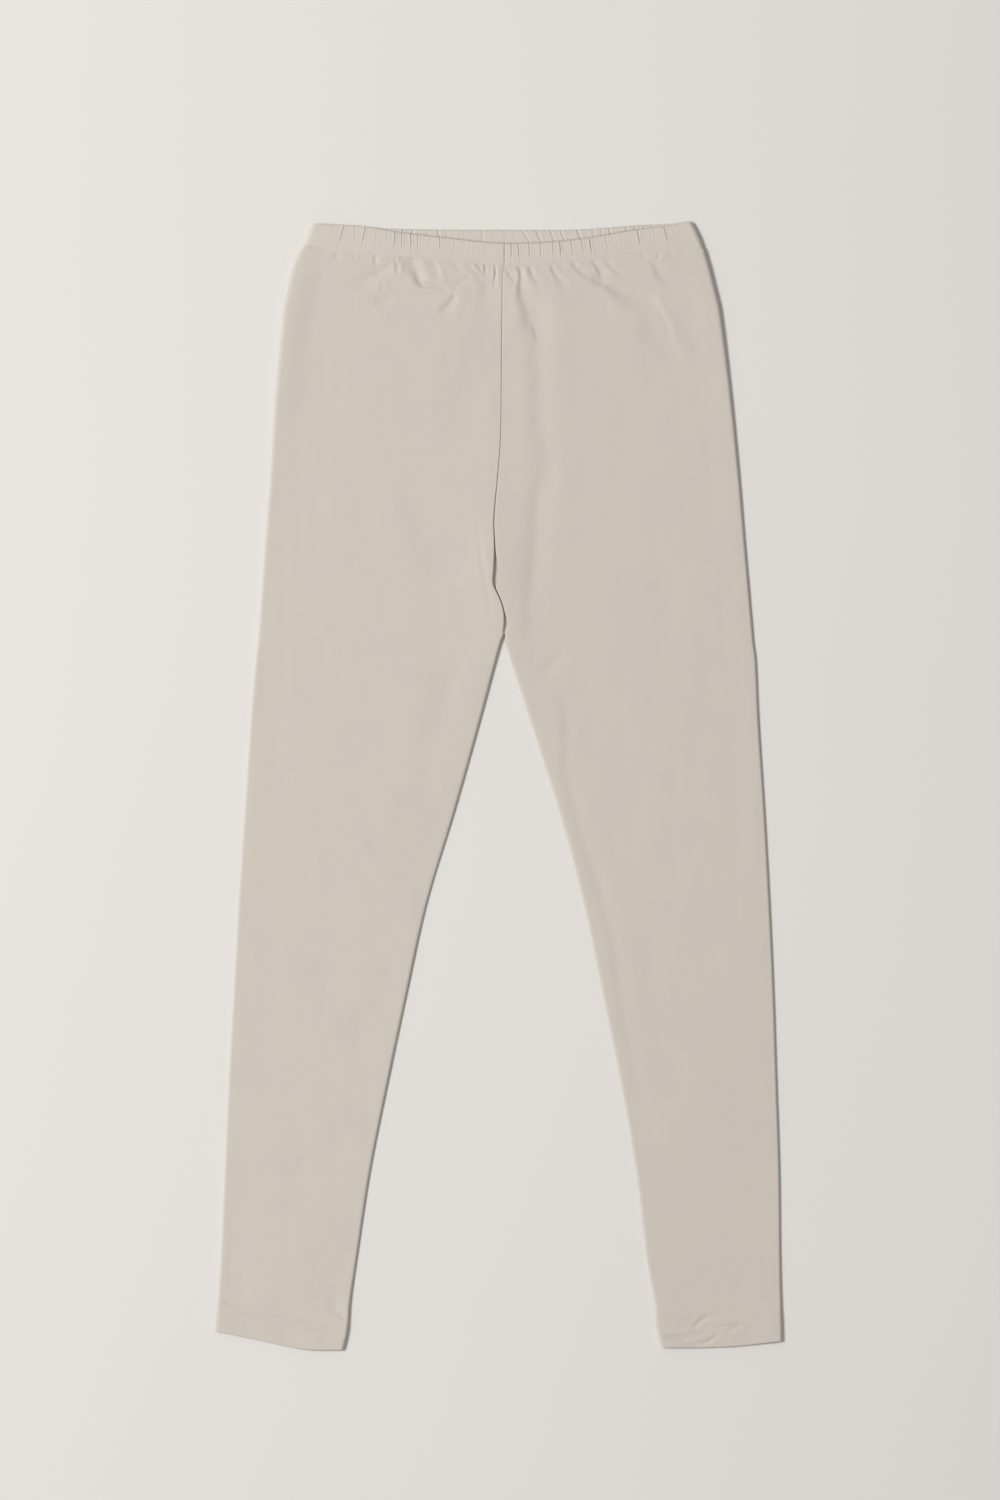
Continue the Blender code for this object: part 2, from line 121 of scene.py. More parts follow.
# Centre seams: the x at each height, as the front seam wanders over the straight back seam, and how far the
# front's two edges stand back from it, where the seam opens above the crotch
Seam = namedtuple("Seam", "y front back right left")
CENTRE_SEAM = [Seam(*row) for row in (
    (134, 5, 5.4, 0.05, 0.05),
    (136, 5.1, 5.3, 0.5, 1.5),
    (140, 5.5, 5.2, 0.6, 2.3),
    (147, 5.6, 5.2, 0.5, 1.3),
    (153, 4.9, 5.1, 0.2, 0.2),
    (158, 3.7, 5.1, 0.15, 0.15),
    (163, 2, 5, 0.15, 0.15),
    (169, -0.7, 5, 0.2, 0.2),
    (174, -3, 4.9, 0.4, 0.4),
    (178.5, -3.5, 4.9, 1.2, 1.3),
    (184, -2.9, 4.9, 1.8, 1.9),
    (188, -2.3, 4.8, 2, 2.2),
    (194, -2.6, 4.8, 1.4, 1.6),
    (201, -2.9, 4.8, 0.7, 0.8),
    (209, -3.2, 4.7, 0.25, 0.3),
    (218, -3.5, 4.7, 0.1, 0.1),
    (233, -4, 4.6, 0.05, 0.05),
    (279, -0.1, 4.6, 0.05, 0.05),
    (303, 1.7, 4.8, 0.05, 0.05),
    (357, 2.6, 5, 0.05, 0.05),
    (440, 3.4, 5.2, 0.05, 0.05),
    (458, 4.4, 5.3, 0.05, 0.05),
    (470, 5.3, 5.3, 0.05, 0.05),
)]

# Height of the top surface at the outer fold, on the flat and at the inner lip, the width of the lip, and the
# height at which the front's edge lies in the centre seam, down in the valley that deepens towards the crotch
Rise = namedtuple("Rise", "y outer middle inner lip seam")
RISES = [Rise(*row) for row in (
    (-490, 5.4, 4.4, 5.4, 2.6, 2.7),
    (-470, 4.9, 4.2, 4.9, 2.6, 2.5),
    (-450, 4, 4, 4, 2.4, 2.2),
    (-400, 3.5, 3.4, 3.5, 2.6, 2),
    (-200, 3.5, 3.3, 3.5, 2.8, 2),
    (60, 3.6, 3.3, 3.8, 3, 2.1),
    (134, 3.8, 3.4, 4.9, 1.9, 2.3),
    (142, 3.8, 3.5, 5.7, 0.8, 2.1),
    (155, 3.8, 3.5, 5.6, 0.8, 2.1),
    (172, 3.9, 3.6, 5.9, 0.8, 2.03),
    (188, 3.9, 3.6, 6.3, 0.7, 2.02),
    (205, 4, 3.6, 5.9, 0.8, 2.05),
    (240, 4.2, 3.6, 4.8, 0.9, 2.4),
    (300, 4.6, 3.5, 4, 0.9, 2.7),
    (370, 5.4, 3.8, 4, 1, 3),
    (420, 6.3, 4.7, 4.6, 1.2, 3.8),
    (458, 6.8, 6.2, 6.1, 1.4, 5.7),
)]

# Hems: how far across from the outer fold, the stitch line and the folded end
Hem = namedtuple("Hem", "across stitch end")
HEMS = {
    "right": [
        Hem(0.0, -454.0, -480.5),
        Hem(0.35, -464.0, -488.5),
        Hem(0.7, -472.0, -496.0),
        Hem(1.0, -476.0, -496.5),
    ],
    "left": [
        Hem(0.0, -459.5, -489.0),
        Hem(0.35, -467.5, -493.0),
        Hem(0.65, -469.0, -494.4),
        Hem(1.0, -458.0, -494.4),
    ],
}

# Waistband: its stitched lower edge and its upper edge, in front and behind, at each x
BandLine = namedtuple("BandLine", "x front_low front_top back_low back_top")
BAND_LINES = [BandLine(*row) for row in (
    (-170, 476.1, 494.3, 474, 494.3),
    (-147, 470, 493.6, 471, 493.6),
    (-116, 467.4, 491.4, 469.6, 491.1),
    (-87, 466, 486.4, 469, 489.6),
    (-52, 462.4, 482.2, 468.6, 489),
    (-1, 458, 476.8, 468.2, 488.8),
    (30, 457.2, 476.8, 468.2, 488.8),
    (66, 461, 479.6, 469, 489),
    (94, 463.4, 483.6, 470, 490.6),
    (122, 468, 488.6, 471.4, 492.8),
    (153, 470.2, 492.4, 472.6, 494.4),
    (181, 471.2, 499.1, 472.6, 499.1),
)]
BandEnd = namedtuple("BandEnd", "low top")
BAND_ENDS = {"right": BandEnd(-170.8, -163.8), "left": BandEnd(181.0, 170.2)}

# Gathers of the waistband: where each groove crosses its top and its lower edge, and how deep it is
Gather = namedtuple("Gather", "top low depth")
FRONT_GATHERS = [Gather(*row) for row in (
    (-150, -154, 0.3), (-135, -142, 0.8), (-126, -127, 0.4), (-116, -121, 0.7), (-107, -108.5, 0.3),
    (-97.5, -98.5, 0.3), (-90.3, -92, 0.7), (-84.8, -84.8, 0.6), (-77, -76, 0.9), (-70.6, -70.6, 0.6),
    (-60.5, -61, 0.3), (-51.5, -50.5, 0.7), (-38, -39, 0.3), (-25, -26, 0.3), (-12, -12.5, 0.3),
    (11.5, 11.5, 0.75), (17.4, 19, 0.8), (27, 28.2, 0.6), (37.4, 37.4, 0.7), (48, 48.6, 0.6), (54, 55.5, 1),
    (63.8, 66.4, 0.7), (73, 76, 0.7), (80.1, 83, 1), (94.2, 97.6, 0.5), (108, 110, 0.3), (122, 126.3, 0.9),
    (133, 136, 0.3), (145.4, 151.4, 0.9), (158, 164, 0.3),
)]
BACK_GATHERS = [Gather(*row) for row in (
    (-151, -153, 0.4), (-139, -140, 0.6), (-127, -128, 0.4), (-112, -113, 0.6), (-97, -97, 0.5),
    (-84, -82, 0.7), (-76, -71.5, 0.7), (-62, -61, 0.4), (-53, -51, 0.7), (-45.5, -44.5, 0.4),
    (-30, -29, 0.3), (-14.5, -13, 0.5), (19.8, 34.1, 0.8), (33.6, 42, 0.7), (45.6, 53, 0.7),
    (54.6, 62.7, 0.7), (69, 76.8, 0.8), (83.6, 85.8, 0.5), (90.4, 92.9, 0.5), (97.2, 102, 0.7),
    (112.2, 115.6, 0.6), (120.1, 122.1, 0.5), (128, 129.9, 0.6), (135.6, 137.8, 0.5), (143.4, 145.9, 0.5),
    (157, 161.7, 0.4),
)]

# Folds of the front, each through its points: x, y, depth (a ridge where it is less than 0), and the half
# width on its left and on its right, as seen along the fold
FRONT_FOLDS = {
    "arc at the side": [(-140.4, 471.2, 0.2, 3, 2), (-142.1, 465.1, 0.4, 3, 2), (-147.4, 460.7, 0.1, 3, 2)],
    "thin pull at the side": [
        (-127.5, 472.1, 0.3, 1, 1), (-127.2, 466, 0.5, 1, 1), (-127.2, 462.4, 0.2, 1, 1),
    ],
    "hook": [(-106.9, 466.8, 0.54, 1.6, 1.4), (-108.2, 461.6, 0.9, 2, 1.6), (-106.9, 457.2, 0.36, 2.4, 2)],
    "dip under the hook": [
        (-114, 455.4, 0.18, 2.4, 5), (-106, 454.5, 1.27, 2.2, 5), (-99, 454.5, 1.09, 2.2, 5),
        (-92.8, 456.3, 0.18, 2.4, 5),
    ],
    "wedge": [
        (-128, 445.7, 0.21, 4, 7), (-120.1, 445.7, 0.94, 4, 7), (-112.2, 447.5, 1.14, 2.6, 6),
        (-106, 449.2, 1.04, 1.5, 4), (-103.4, 449.7, 0.21, 1.4, 3),
    ],
    "short pull": [(-97.7, 466, 0.3, 1, 1), (-95.5, 462.4, 0.5, 1.2, 1), (-92, 458.9, 0.1, 1.2, 1)],
    "strong pull": [
        (-91.1, 462.9, 0.5, 1.3, 1.1), (-89.3, 458, 1, 1.5, 1.2), (-88.9, 452.8, 0.7, 1.6, 1.3),
        (-88.9, 449.2, 0.1, 2, 1.5),
    ],
    "tiny pull": [(-86.2, 462.4, 0.4, 0.9, 0.8), (-85.6, 458, 0.3, 0.9, 0.8), (-85.4, 455.4, 0.05, 1, 1)],
    "ridge of the tiny pull": [
        (-84, 461.6, -0.3, 0.9, 0.9), (-84.9, 455.4, -0.3, 1.2, 1.2), (-86.7, 451, -0.1, 1.5, 1.5),
    ],
    "deep pull": [
        (-75.7, 462.9, 1.5, 4.6, 9), (-74.4, 457.2, 1.9, 5.2, 7.5), (-72.2, 451.9, 2, 5.4, 4.2),
        (-70, 445.7, 2, 5, 3.1), (-67.3, 441.3, 0.9, 4, 2.6),
    ],
    "pull across": [
        (-71.7, 442.2, 0.4, 2, 2), (-68.2, 440.9, 1.5, 1.9, 1.7), (-60.3, 439.6, 2, 1.9, 1.7),
        (-53.2, 437.8, 2, 1.8, 1.6), (-47.1, 435.6, 1.5, 1.7, 1.6), (-42.2, 433.8, 0.4, 1.7, 2),
    ],
    "ridge across": [
        (-56.8, 446.2, -0.1, 2, 1.4), (-51.5, 442.6, -0.3, 2, 1.3), (-46.2, 439.7, -0.4, 1.8, 1.2),
        (-40.9, 437.4, -0.4, 1.6, 1.2), (-37, 433.4, -0.3, 1.5, 1.3), (-35.6, 428.1, -0.2, 1.8, 1.6),
        (-35.6, 422, -0.05, 3, 3),
    ],
    "tail of the pull": [
        (-39.2, 435.2, 0.4, 3, 1.8), (-39.6, 429, 1, 4, 1.8), (-44, 423.3, 1.2, 5, 2),
        (-48.8, 418.4, 0.9, 6, 2.2), (-52.8, 414, 0.1, 6, 2.6),
    ],
    "bulge by the tail": [
        (-54.1, 427.2, -0.1, 4, 4), (-53.2, 423.7, -0.3, 4, 4), (-55.9, 419.3, -0.1, 4, 4),
    ],
    "ridge of the lobe": [
        (-59, 466, -0.2, 1, 1), (-55.9, 461.6, -0.4, 1.2, 1.2), (-52.4, 456.3, -0.45, 1.4, 1.4),
        (-49.7, 450.1, -0.3, 1.8, 1.8), (-48, 444.8, -0.1, 2, 2),
    ],
    "edge of the lobe": [
        (-56.8, 465.1, 0.27, 2, 8.1), (-55.4, 459.8, 0.94, 2, 10.8), (-53.7, 453.6, 1.01, 2.4, 12.15),
        (-54.1, 448.4, 0.54, 3, 12.15), (-57.6, 444, 0.14, 3, 9.45),
    ],
    "arc": [
        (-48, 461.1, 0.25, 1.4, 2), (-41.8, 460.2, 0.75, 1.4, 2.2), (-37, 457.2, 0.75, 1.8, 2),
        (-33, 452.8, 0.19, 2, 2),
    ],
    "slanting pull": [
        (-23.8, 462, 0.65, 1.4, 1), (-20.2, 458.9, 1.43, 1.4, 1.1), (-15.8, 454.5, 1.17, 1.8, 1.3),
        (-12.8, 450.1, 0.2, 3, 2),
    ],
    "slanting pull below": [
        (-26, 456.7, 0.2, 2, 1.6), (-22.4, 453.2, 0.5, 2, 1.8), (-18, 449.2, 0.5, 2.4, 2),
        (-16.3, 444, 0.3, 4, 3.4),
    ],
    "upright pull": [
        (-14.1, 462.4, 0.9, 1.2, 1), (-11.9, 457.2, 1.65, 1.3, 1), (-11.4, 451.9, 0.9, 1.6, 1.2),
        (-11, 447.5, 0.08, 2, 2),
    ],
    "small wedge": [
        (-39.2, 444.4, 0.15, 2, 4), (-33.9, 443.5, 0.83, 2, 4.5), (-28.6, 444.8, 0.52, 1.8, 4),
        (-25.1, 445.7, 0.08, 2, 4),
    ],
    "soft drop": [
        (-11.4, 447.5, 0.42, 8, 4), (-10.6, 440.4, 0.84, 10, 4.5), (-10.6, 429.9, 0.7, 12, 5),
        (-11.9, 416.7, 0.49, 14, 6), (-13.6, 396.4, 0.14, 14, 8),
    ],
    "pull at the seam": [
        (-4.5, 459.8, 0.8, 1, 0.8), (-2.9, 455.4, 1.4, 1.1, 0.9), (-2.7, 449.2, 1.3, 1.1, 0.9),
        (-3.3, 444, 0.7, 1.2, 1), (-4, 437.8, 0.1, 1.6, 1.3),
    ],
    "ridge at the seam": [
        (-0.4, 458.9, -0.15, 1, 1), (0.3, 451.9, -0.25, 1, 1), (0.4, 444.8, -0.2, 1, 1),
        (0.4, 436, -0.05, 1, 1),
    ],
    "faint pull by the seam": [
        (-8.4, 458.9, 0.2, 2, 2), (-7.5, 452.8, 0.3, 2, 2), (-8.4, 446.6, 0.05, 2, 2),
    ],
    "low dip": [
        (-110.4, 428.1, 0.22, 2.4, 6), (-103.4, 427.2, 1.01, 2.4, 6), (-97.2, 428.1, 0.78, 2.4, 6),
        (-92, 429, 0.11, 2.4, 5),
    ],
    "faint dent": [
        (-103.4, 442.2, 0.21, 2, 1.6), (-102.5, 437.8, 0.35, 2, 1.6), (-101.6, 433.4, 0.07, 2, 2),
    ],
    "notch": [
        (5.3, 456.3, 0.39, 1.4, 1.2), (8.4, 451, 0.78, 1.8, 1.4), (12.8, 445.7, 0.65, 3, 1.6),
        (15.4, 441.3, 0.13, 3, 2),
    ],
    "long pull": [
        (15, 458, 0.7, 1.6, 1.2), (19.4, 452.3, 1.3, 1.8, 1.3), (19.8, 447.5, 1.2, 3, 1.6),
        (19.4, 437.8, 1.5, 9, 2.2), (21.1, 429.9, 1.7, 12, 3.8), (25.5, 420.2, 1.7, 14, 5),
        (28.6, 407.9, 1.5, 14, 6.5),
    ],
    "ridge by the long pull": [
        (22.9, 457.2, -0.1, 1.6, 1.6), (24.6, 449.2, -0.25, 2, 2), (25.1, 441.3, -0.2, 2.4, 2.4),
        (26.8, 434.3, -0.05, 3, 3),
    ],
    "long trough": [
        (32.6, 409.6, 0.57, 9, 7), (36.1, 387.6, 0.92, 10, 8), (36.1, 320.8, 0.86, 10, 8),
        (41.4, 297.9, 0.8, 10, 8), (41.4, 270.6, 0.86, 10, 8), (35.2, 253, 0.86, 9, 7),
        (33.4, 216.9, 0.8, 9, 7), (30.8, 180.8, 0.75, 8, 7), (28.2, 158, 0.57, 8, 6),
        (29, 126.3, 0.23, 8, 7),
    ],
    "second pull": [
        (25.5, 459.8, 0.4, 1.6, 1.2), (28.6, 453.2, 0.9, 1.8, 1.5), (30.8, 447.5, 0.7, 2.4, 2),
        (34.8, 440.9, 0.5, 4, 2.6), (36.5, 430.8, 0.35, 6, 4), (37.4, 418.4, 0.1, 7, 6),
    ],
    "third pull": [
        (45.3, 459.8, 0.5, 1.3, 1.1), (47.5, 454.1, 1.1, 1.7, 1.4), (51, 448.8, 0.9, 2.4, 1.8),
        (55.9, 441.3, 0.5, 4, 3), (59.4, 433.4, 0.15, 5, 4),
    ],
    "faint pull left of it": [
        (39.6, 459.8, 0.3, 1, 1), (41.4, 454.5, 0.2, 1.2, 1), (42.7, 451, 0.05, 1.2, 1),
    ],
    "faint pull right of it": [
        (50.6, 459.8, 0.25, 1, 1), (51.9, 455.4, 0.2, 1, 1), (53.2, 451.9, 0.05, 1, 1),
    ],
    "slanting stroke": [
        (63.4, 461.1, 0.52, 1.4, 1.68), (66.9, 458, 1.04, 1.6, 1.96), (71.7, 453.2, 1.04, 2, 2.52),
        (77.9, 448.8, 1.04, 2.4, 2.8), (84, 445.3, 1.04, 3, 3.08), (89.3, 441.3, 0.78, 3, 3.36),
    ],
    "hooked stroke": [
        (78.8, 462, 0.5, 1.6, 1.1), (83.2, 460.7, 0.9, 2.2, 1.2), (86.7, 455.8, 1.2, 3.4, 1.4),
        (89.3, 450.6, 1.2, 4.4, 1.6), (90.8, 444.8, 0.7, 4.6, 2.2),
    ],
    "long diagonal": [
        (86.7, 445.7, 1.1, 4, 3), (96.8, 440.4, 2, 6, 3.6), (103.4, 437.8, 2, 7, 5),
        (111.3, 433.8, 2, 9, 8), (121, 429.4, 2, 10, 10), (133.3, 426.4, 1.6, 9, 10),
        (141.2, 424.2, 0.5, 8, 9),
    ],
    "thin diagonal": [
        (92.4, 462.9, 0.3, 1.4, 1.2), (97.2, 458, 0.6, 1.8, 1.4), (103.4, 452.3, 0.6, 2.4, 1.8),
        (112.2, 446.6, 0.4, 3, 2.4), (121.9, 441.3, 0.1, 4, 3),
    ],
    "fine ridge": [
        (124.5, 433, -0.2, 5, 1.53), (132.4, 430.3, -0.47, 5, 1.36), (138.2, 428.1, -0.68, 6, 1.19),
        (142.6, 422.4, -0.68, 6, 1.19), (147.4, 414, -0.68, 6, 1.36), (151.8, 406.1, -0.54, 6, 1.7),
        (156.2, 393.8, -0.41, 6, 2.55), (165, 373.6, -0.14, 6, 4.25),
    ],
    "dip beside the ridge": [
        (131.6, 411.4, 0.1, 9, 7), (134.2, 397.3, 0.4, 9, 7), (148.3, 380.6, 0.45, 8, 6),
        (157.1, 365.6, 0.1, 8, 7),
    ],
    "side stroke": [
        (121.9, 470.4, 0.17, 1.8, 1.6), (127.2, 465.5, 0.33, 2.2, 1.8), (133.3, 460.7, 0.22, 3, 2),
        (137.7, 457.2, 0.06, 3, 2),
    ],
    "side pull": [
        (139.9, 471.2, 0.4, 1.4, 1.3), (141.1, 466.8, 0.6, 1.5, 1.4), (139.5, 462.4, 0.4, 2, 1.6),
    ],
    "side drape": [
        (135.5, 461.1, 0.3, 2.4, 1.6), (138.6, 455.4, 0.9, 6, 2.4), (142.1, 448.4, 0.8, 8, 3),
        (148.3, 444, 0.5, 9, 4), (156.2, 439.6, 0.1, 9, 5),
    ],
    "crease over the crotch": [
        (-18.9, 231, 0.1, 3, 3), (-16.3, 209, 0.24, 2.6, 2.6), (-13.6, 191.4, 0.28, 2.4, 2.4),
        (-10.1, 170.3, 0.28, 2.4, 2.4), (-6.6, 152.7, 0.14, 2.4, 2.6), (-4.8, 142.1, 0.03, 4, 3),
    ],
    "crotch drag right leg": [(-25.1, 128, 0.1, 7, 7), (-42.7, 84, 0.35, 9, 9), (-62, 22.4, 0.1, 12, 12)],
    "crotch drag left leg": [
        (59.4, 119.2, 0.1, 6, 5), (52.4, 112.2, 0.45, 6, 4.5), (41.8, 99.9, 0.5, 6, 4.5),
        (34.8, 90.2, 0.1, 7, 6),
    ],
    "rolled inseam": [
        (54.1, 84, 0.1, 6, 6), (60.3, 61.2, 0.5, 6, 5), (59.4, 18.9, 0.5, 6, 5), (64.7, -9.2, 0.5, 6, 5),
        (75.2, -48, 0.5, 7, 5), (86.7, -82.3, 0.5, 7, 5), (95.5, -114, 0.5, 7, 5),
        (103.4, -150.9, 0.5, 7, 5), (107.8, -187, 0.4, 7, 5), (116.6, -232.8, 0.3, 7, 6),
        (125.4, -285.6, 0.1, 7, 6),
    ],
    "hem crease right leg": [
        (-246, -451.5, 0.34, 1.6, 1.6), (-238, -455.7, 1.01, 1.8, 1.3), (-227.8, -459.2, 0.77, 2, 1.5),
        (-220.4, -461.1, 0.17, 2.4, 2),
    ],
    "short hem crease right leg": [
        (-178.2, -469.9, 0.2, 1.6, 1.4), (-172, -471, 0.88, 1.6, 1.2), (-165.3, -472.4, 0.39, 1.8, 1.5),
        (-160.6, -473.9, 0.1, 2, 2),
    ],
    "dip over the hem right leg": [
        (-231, -439.6, 0.16, 5, 5), (-224.8, -443.1, 0.56, 5, 5), (-216.9, -446.6, 0.16, 5, 5),
    ],
    "dip at the inseam right leg": [
        (-151.8, -452.8, 0.24, 5, 4), (-144.8, -458.9, 1.19, 5, 4), (-137.7, -465.5, 0.83, 4, 3),
        (-134.2, -469.5, 0.24, 4, 3),
    ],
    "hem arc left leg": [
        (172, -476.5, 0.21, 2, 2), (175.6, -473, 0.84, 2.2, 1.6), (182.2, -468.6, 1.05, 2.4, 1.8),
        (191, -466, 0.73, 2.6, 2.2), (203.7, -466.8, 0.32, 3, 3), (214.3, -469, 0.21, 3, 3),
    ],
    "hem ridge left leg": [
        (162.4, -478.5, -0.21, 1.4, 1.4), (170.3, -478.7, -0.73, 1.3, 1.3),
        (179.1, -478.5, -0.21, 1.4, 1.4),
    ],
    "hem ridge beside it": [
        (189.6, -472.6, -0.21, 2, 2), (198.4, -472.1, -0.63, 2, 2), (207.2, -471.7, -0.42, 2, 2),
        (214.3, -471.2, -0.11, 2, 2),
    ],
    "hem stroke left leg": [
        (147.4, -484.4, 0.27, 2.2, 2), (152.7, -485.6, 1.23, 2.2, 1.8), (162.4, -486.6, 1.37, 2.4, 2),
        (169.4, -487.5, 0.55, 2.4, 2), (174.7, -488.8, 0.27, 2.4, 2),
    ],
    "hem tail left leg": [
        (168.5, -490.6, 0.21, 2.2, 2), (175.6, -491.5, 0.84, 2.2, 1.8), (182.6, -490, 1.05, 2.2, 1.6),
        (188.8, -486.6, 0.84, 2, 1.6), (193.6, -483.7, 0.21, 2, 1.6),
    ],
    "small hem dent left leg": [
        (201.1, -480, 0.21, 2, 2), (205.5, -478.3, 0.63, 2, 2), (211.6, -476.1, 0.21, 2, 2),
    ],
}

# Folds of the back, as the seat and the backs of the knees crease
BACK_FOLDS = {
    "seat drag right": [(-14, 150, 0.1, 9, 9), (-48, 128, 0.3, 8, 8), (-96, 112, 0.1, 10, 10)],
    "seat drag left": [(20, 158, 0.1, 9, 9), (62, 131, 0.35, 8, 8), (118, 122, 0.1, 10, 10)],
    "seat dip right": [(-60, 300, 0.05, 14, 9), (-72, 240, 0.25, 12, 8), (-66, 190, 0.05, 14, 9)],
    "seat dip left": [(78, 330, 0.05, 12, 9), (92, 262, 0.25, 11, 8), (84, 205, 0.05, 13, 9)],
    "pull right": [(-92, 466, 0.3, 2.2, 2.2), (-84, 448, 0.5, 3, 3), (-80, 430, 0.1, 5, 5)],
    "pull left": [(58, 466, 0.3, 2, 2), (66, 446, 0.6, 3, 3), (82, 434, 0.1, 5, 5)],
    "pull beside the seam": [(18, 466, 0.3, 1.8, 1.8), (22, 444, 0.5, 2.8, 2.8), (24, 414, 0.1, 5, 5)],
    "knee right": [(-206, -90, 0.1, 7, 7), (-166, -104, 0.3, 6, 6), (-110, -96, 0.1, 8, 8)],
    "knee right low": [(-200, -128, 0.1, 7, 7), (-150, -134, 0.25, 6, 6), (-116, -122, 0.1, 8, 8)],
    "knee left": [(214, -84, 0.1, 7, 7), (170, -100, 0.3, 6, 6), (110, -88, 0.1, 8, 8)],
    "knee left low": [(208, -120, 0.1, 7, 7), (166, -136, 0.25, 6, 6), (122, -126, 0.1, 8, 8)],
    "calf right": [(-168, -230, 0.05, 10, 8), (-176, -300, 0.2, 9, 7), (-184, -370, 0.05, 10, 8)],
    "calf left": [(180, -220, 0.05, 10, 8), (186, -290, 0.2, 9, 7), (194, -360, 0.05, 10, 8)],
}

# Fine folds: how smoothly their lines are drawn, how far they reach, and the soft unevenness between them
FOLD_LINE_STEPS = 6
FOLD_REACH = 4.0
FOLD_ROLL = 0.22
FOLD_ROLL_AT = 2.0
FOLD_ROLL_WIDTH = 1.1
FOLD_CREST = 1.2
SEAM_FOLD_FADE = 1.6
SIDE_FOLD_FADE = 7.0
FRONT_SWAY = 0.35
FINE_SWAY = 0.08
BACK_SWAY = 0.1
Waves = namedtuple("Waves", "across along layer")
FRONT_WAVES = Waves(26.0, 80.0, 0.5)
FINE_WAVES = Waves(9.0, 16.0, 3.5)
BACK_WAVES = Waves(30.0, 90.0, 7.5)
CASING_WAVES = Waves(5.0, 14.0, 11.5)
HEM_INSIDE_CALM = 0.7
COLUMN_NUDGE = 0.25
WELD = 0.000002
SHARP_ANGLE = 55.0

# Finishes
CLOTH_COLOUR = (0.60, 0.55, 0.49)
CASING_COLOUR = (0.618, 0.567, 0.505)
# The hems' colour is a touch darker than the leg's cloth: painted shade, for the light that falls off towards
# the hems
HEM_PAINTED_SHADE_COLOUR = (0.596, 0.546, 0.487)
THREAD_COLOUR = (0.62, 0.575, 0.52)
FLOOR_COLOUR = (0.74, 0.72, 0.69)
COOL_SHARE = (0.985, 0.985, 1.0)
WARM_SHARE = (1.01, 1.0, 0.985)
MOTTLE_SCALE = 22.0
MOTTLE_ENDS = (0.35, 0.65)
WALE = 0.7
COURSE = 0.55
# How much darker the jersey's colour is between the knit's loops: painted shade
KNIT_PAINTED_SHADE = 0.05
KNIT_MIDDLE = 0.6
KNIT_HEIGHT = 0.06
KNIT_STRENGTH = 0.5
LUMP_SCALE = 90.0
LUMP_HEIGHT = 0.25
FUZZ_SCALE = 900.0
FUZZ_HEIGHT = 0.04
CLOTH_ROUGHNESS = 0.83
CLOTH_ROUGHNESS_SPREAD = 0.1
CLOTH_ROUGHNESS_SCALE = 400.0
CLOTH_SPECULAR = 0.22
CLOTH_SHEEN = 0.12
CLOTH_SHEEN_ROUGHNESS = 0.45
# How dark the thread's colour is in the grooves between its plies: painted shade
THREAD_PAINTED_SHADE = 0.9
THREAD_TWIST_SCALE = 900.0
THREAD_TWIST_HEIGHT = 0.05
THREAD_TWIST_STRENGTH = 0.6
THREAD_ROUGHNESS = 0.6
FLOOR_SHADE = 0.985
FLOOR_MOTTLE_SCALE = 3.0
FLOOR_ROUGHNESS = 0.85

# Studio, in metres
CAMERA_AIM = (0.0013, 0.0312, 0.0)
CAMERA_HEIGHT = 6.0
PHOTO_LENGTH = 1.32
SENSOR = 36.0
KEY_PLACE = (-3.4, 0.6, 4.8)
KEY_SIZE = 1.7
KEY_WATTS = 277.0
KEY_COLOUR = (1.0, 0.985, 0.965)
SURROUND = 0.385
SURROUND_COLOUR = (0.97, 0.985, 1.0, 1.0)
FLOOR_SIZE = 4.0
FLOOR_DROP = 0.05

# Section of the waistband: the outside face from its stitched edge up, round the folded top, and down inside
CASING_ROLL = 1.5
CASING_JOIN_SINK = 0.25
CASING_JOIN_WIDTH = 1.2
CASING_FACE_STEPS = 30
CASING_ROLL_STEPS = 8
FRONT_STATIONS = 480
BACK_STATIONS = 320
SIDE_STATIONS = 14
GATHER_HALF_WIDTH = 0.5
GATHER_SCALE = 1.1
GATHER_POWER = 1.2
INSIDE_HALF_WIDTH = 0.9
INSIDE_SCALE = 0.8
GATHER_ROLL = 0.3
GATHER_ROLL_AT = 2.2
GATHER_ROLL_WIDTH = 1.2
GATHERS_REACH = 0.42
SEAM_SINK = 0.75
SEAM_SINK_WIDTH = 0.6
INSIDE_SEAM_SHARE = 0.4
TOP_SCALLOP = 0.45
SCALLOP_START = 0.85
SCALLOP_SPAN = 0.15
CASING_HEIGHT = 20.0
RIM_RISE = 0.9
RIM_GAP = 0.1
RIM_SLOPE = 1.1
RIM_FALL = 3.0
RIM_END = 0.3
RIM_FADE = 5.0
GATHERS_LOW = 0.15
GATHERS_END = 0.2
CASING_SWAY = 0.08
STITCH_LINE_POINTS = 1400

# Cloth just below the waistband
PUFF = 0.35
PUFF_AT = 4.0
PUFF_WIDTH = 3.0
PUCKER_HALF_WIDTH = 2.0
PUCKER_LENGTH = 12.0
PUCKER_SHARE = 0.7
FRONT_PUCKER = 0.35
JOIN_BLEND = 3.0

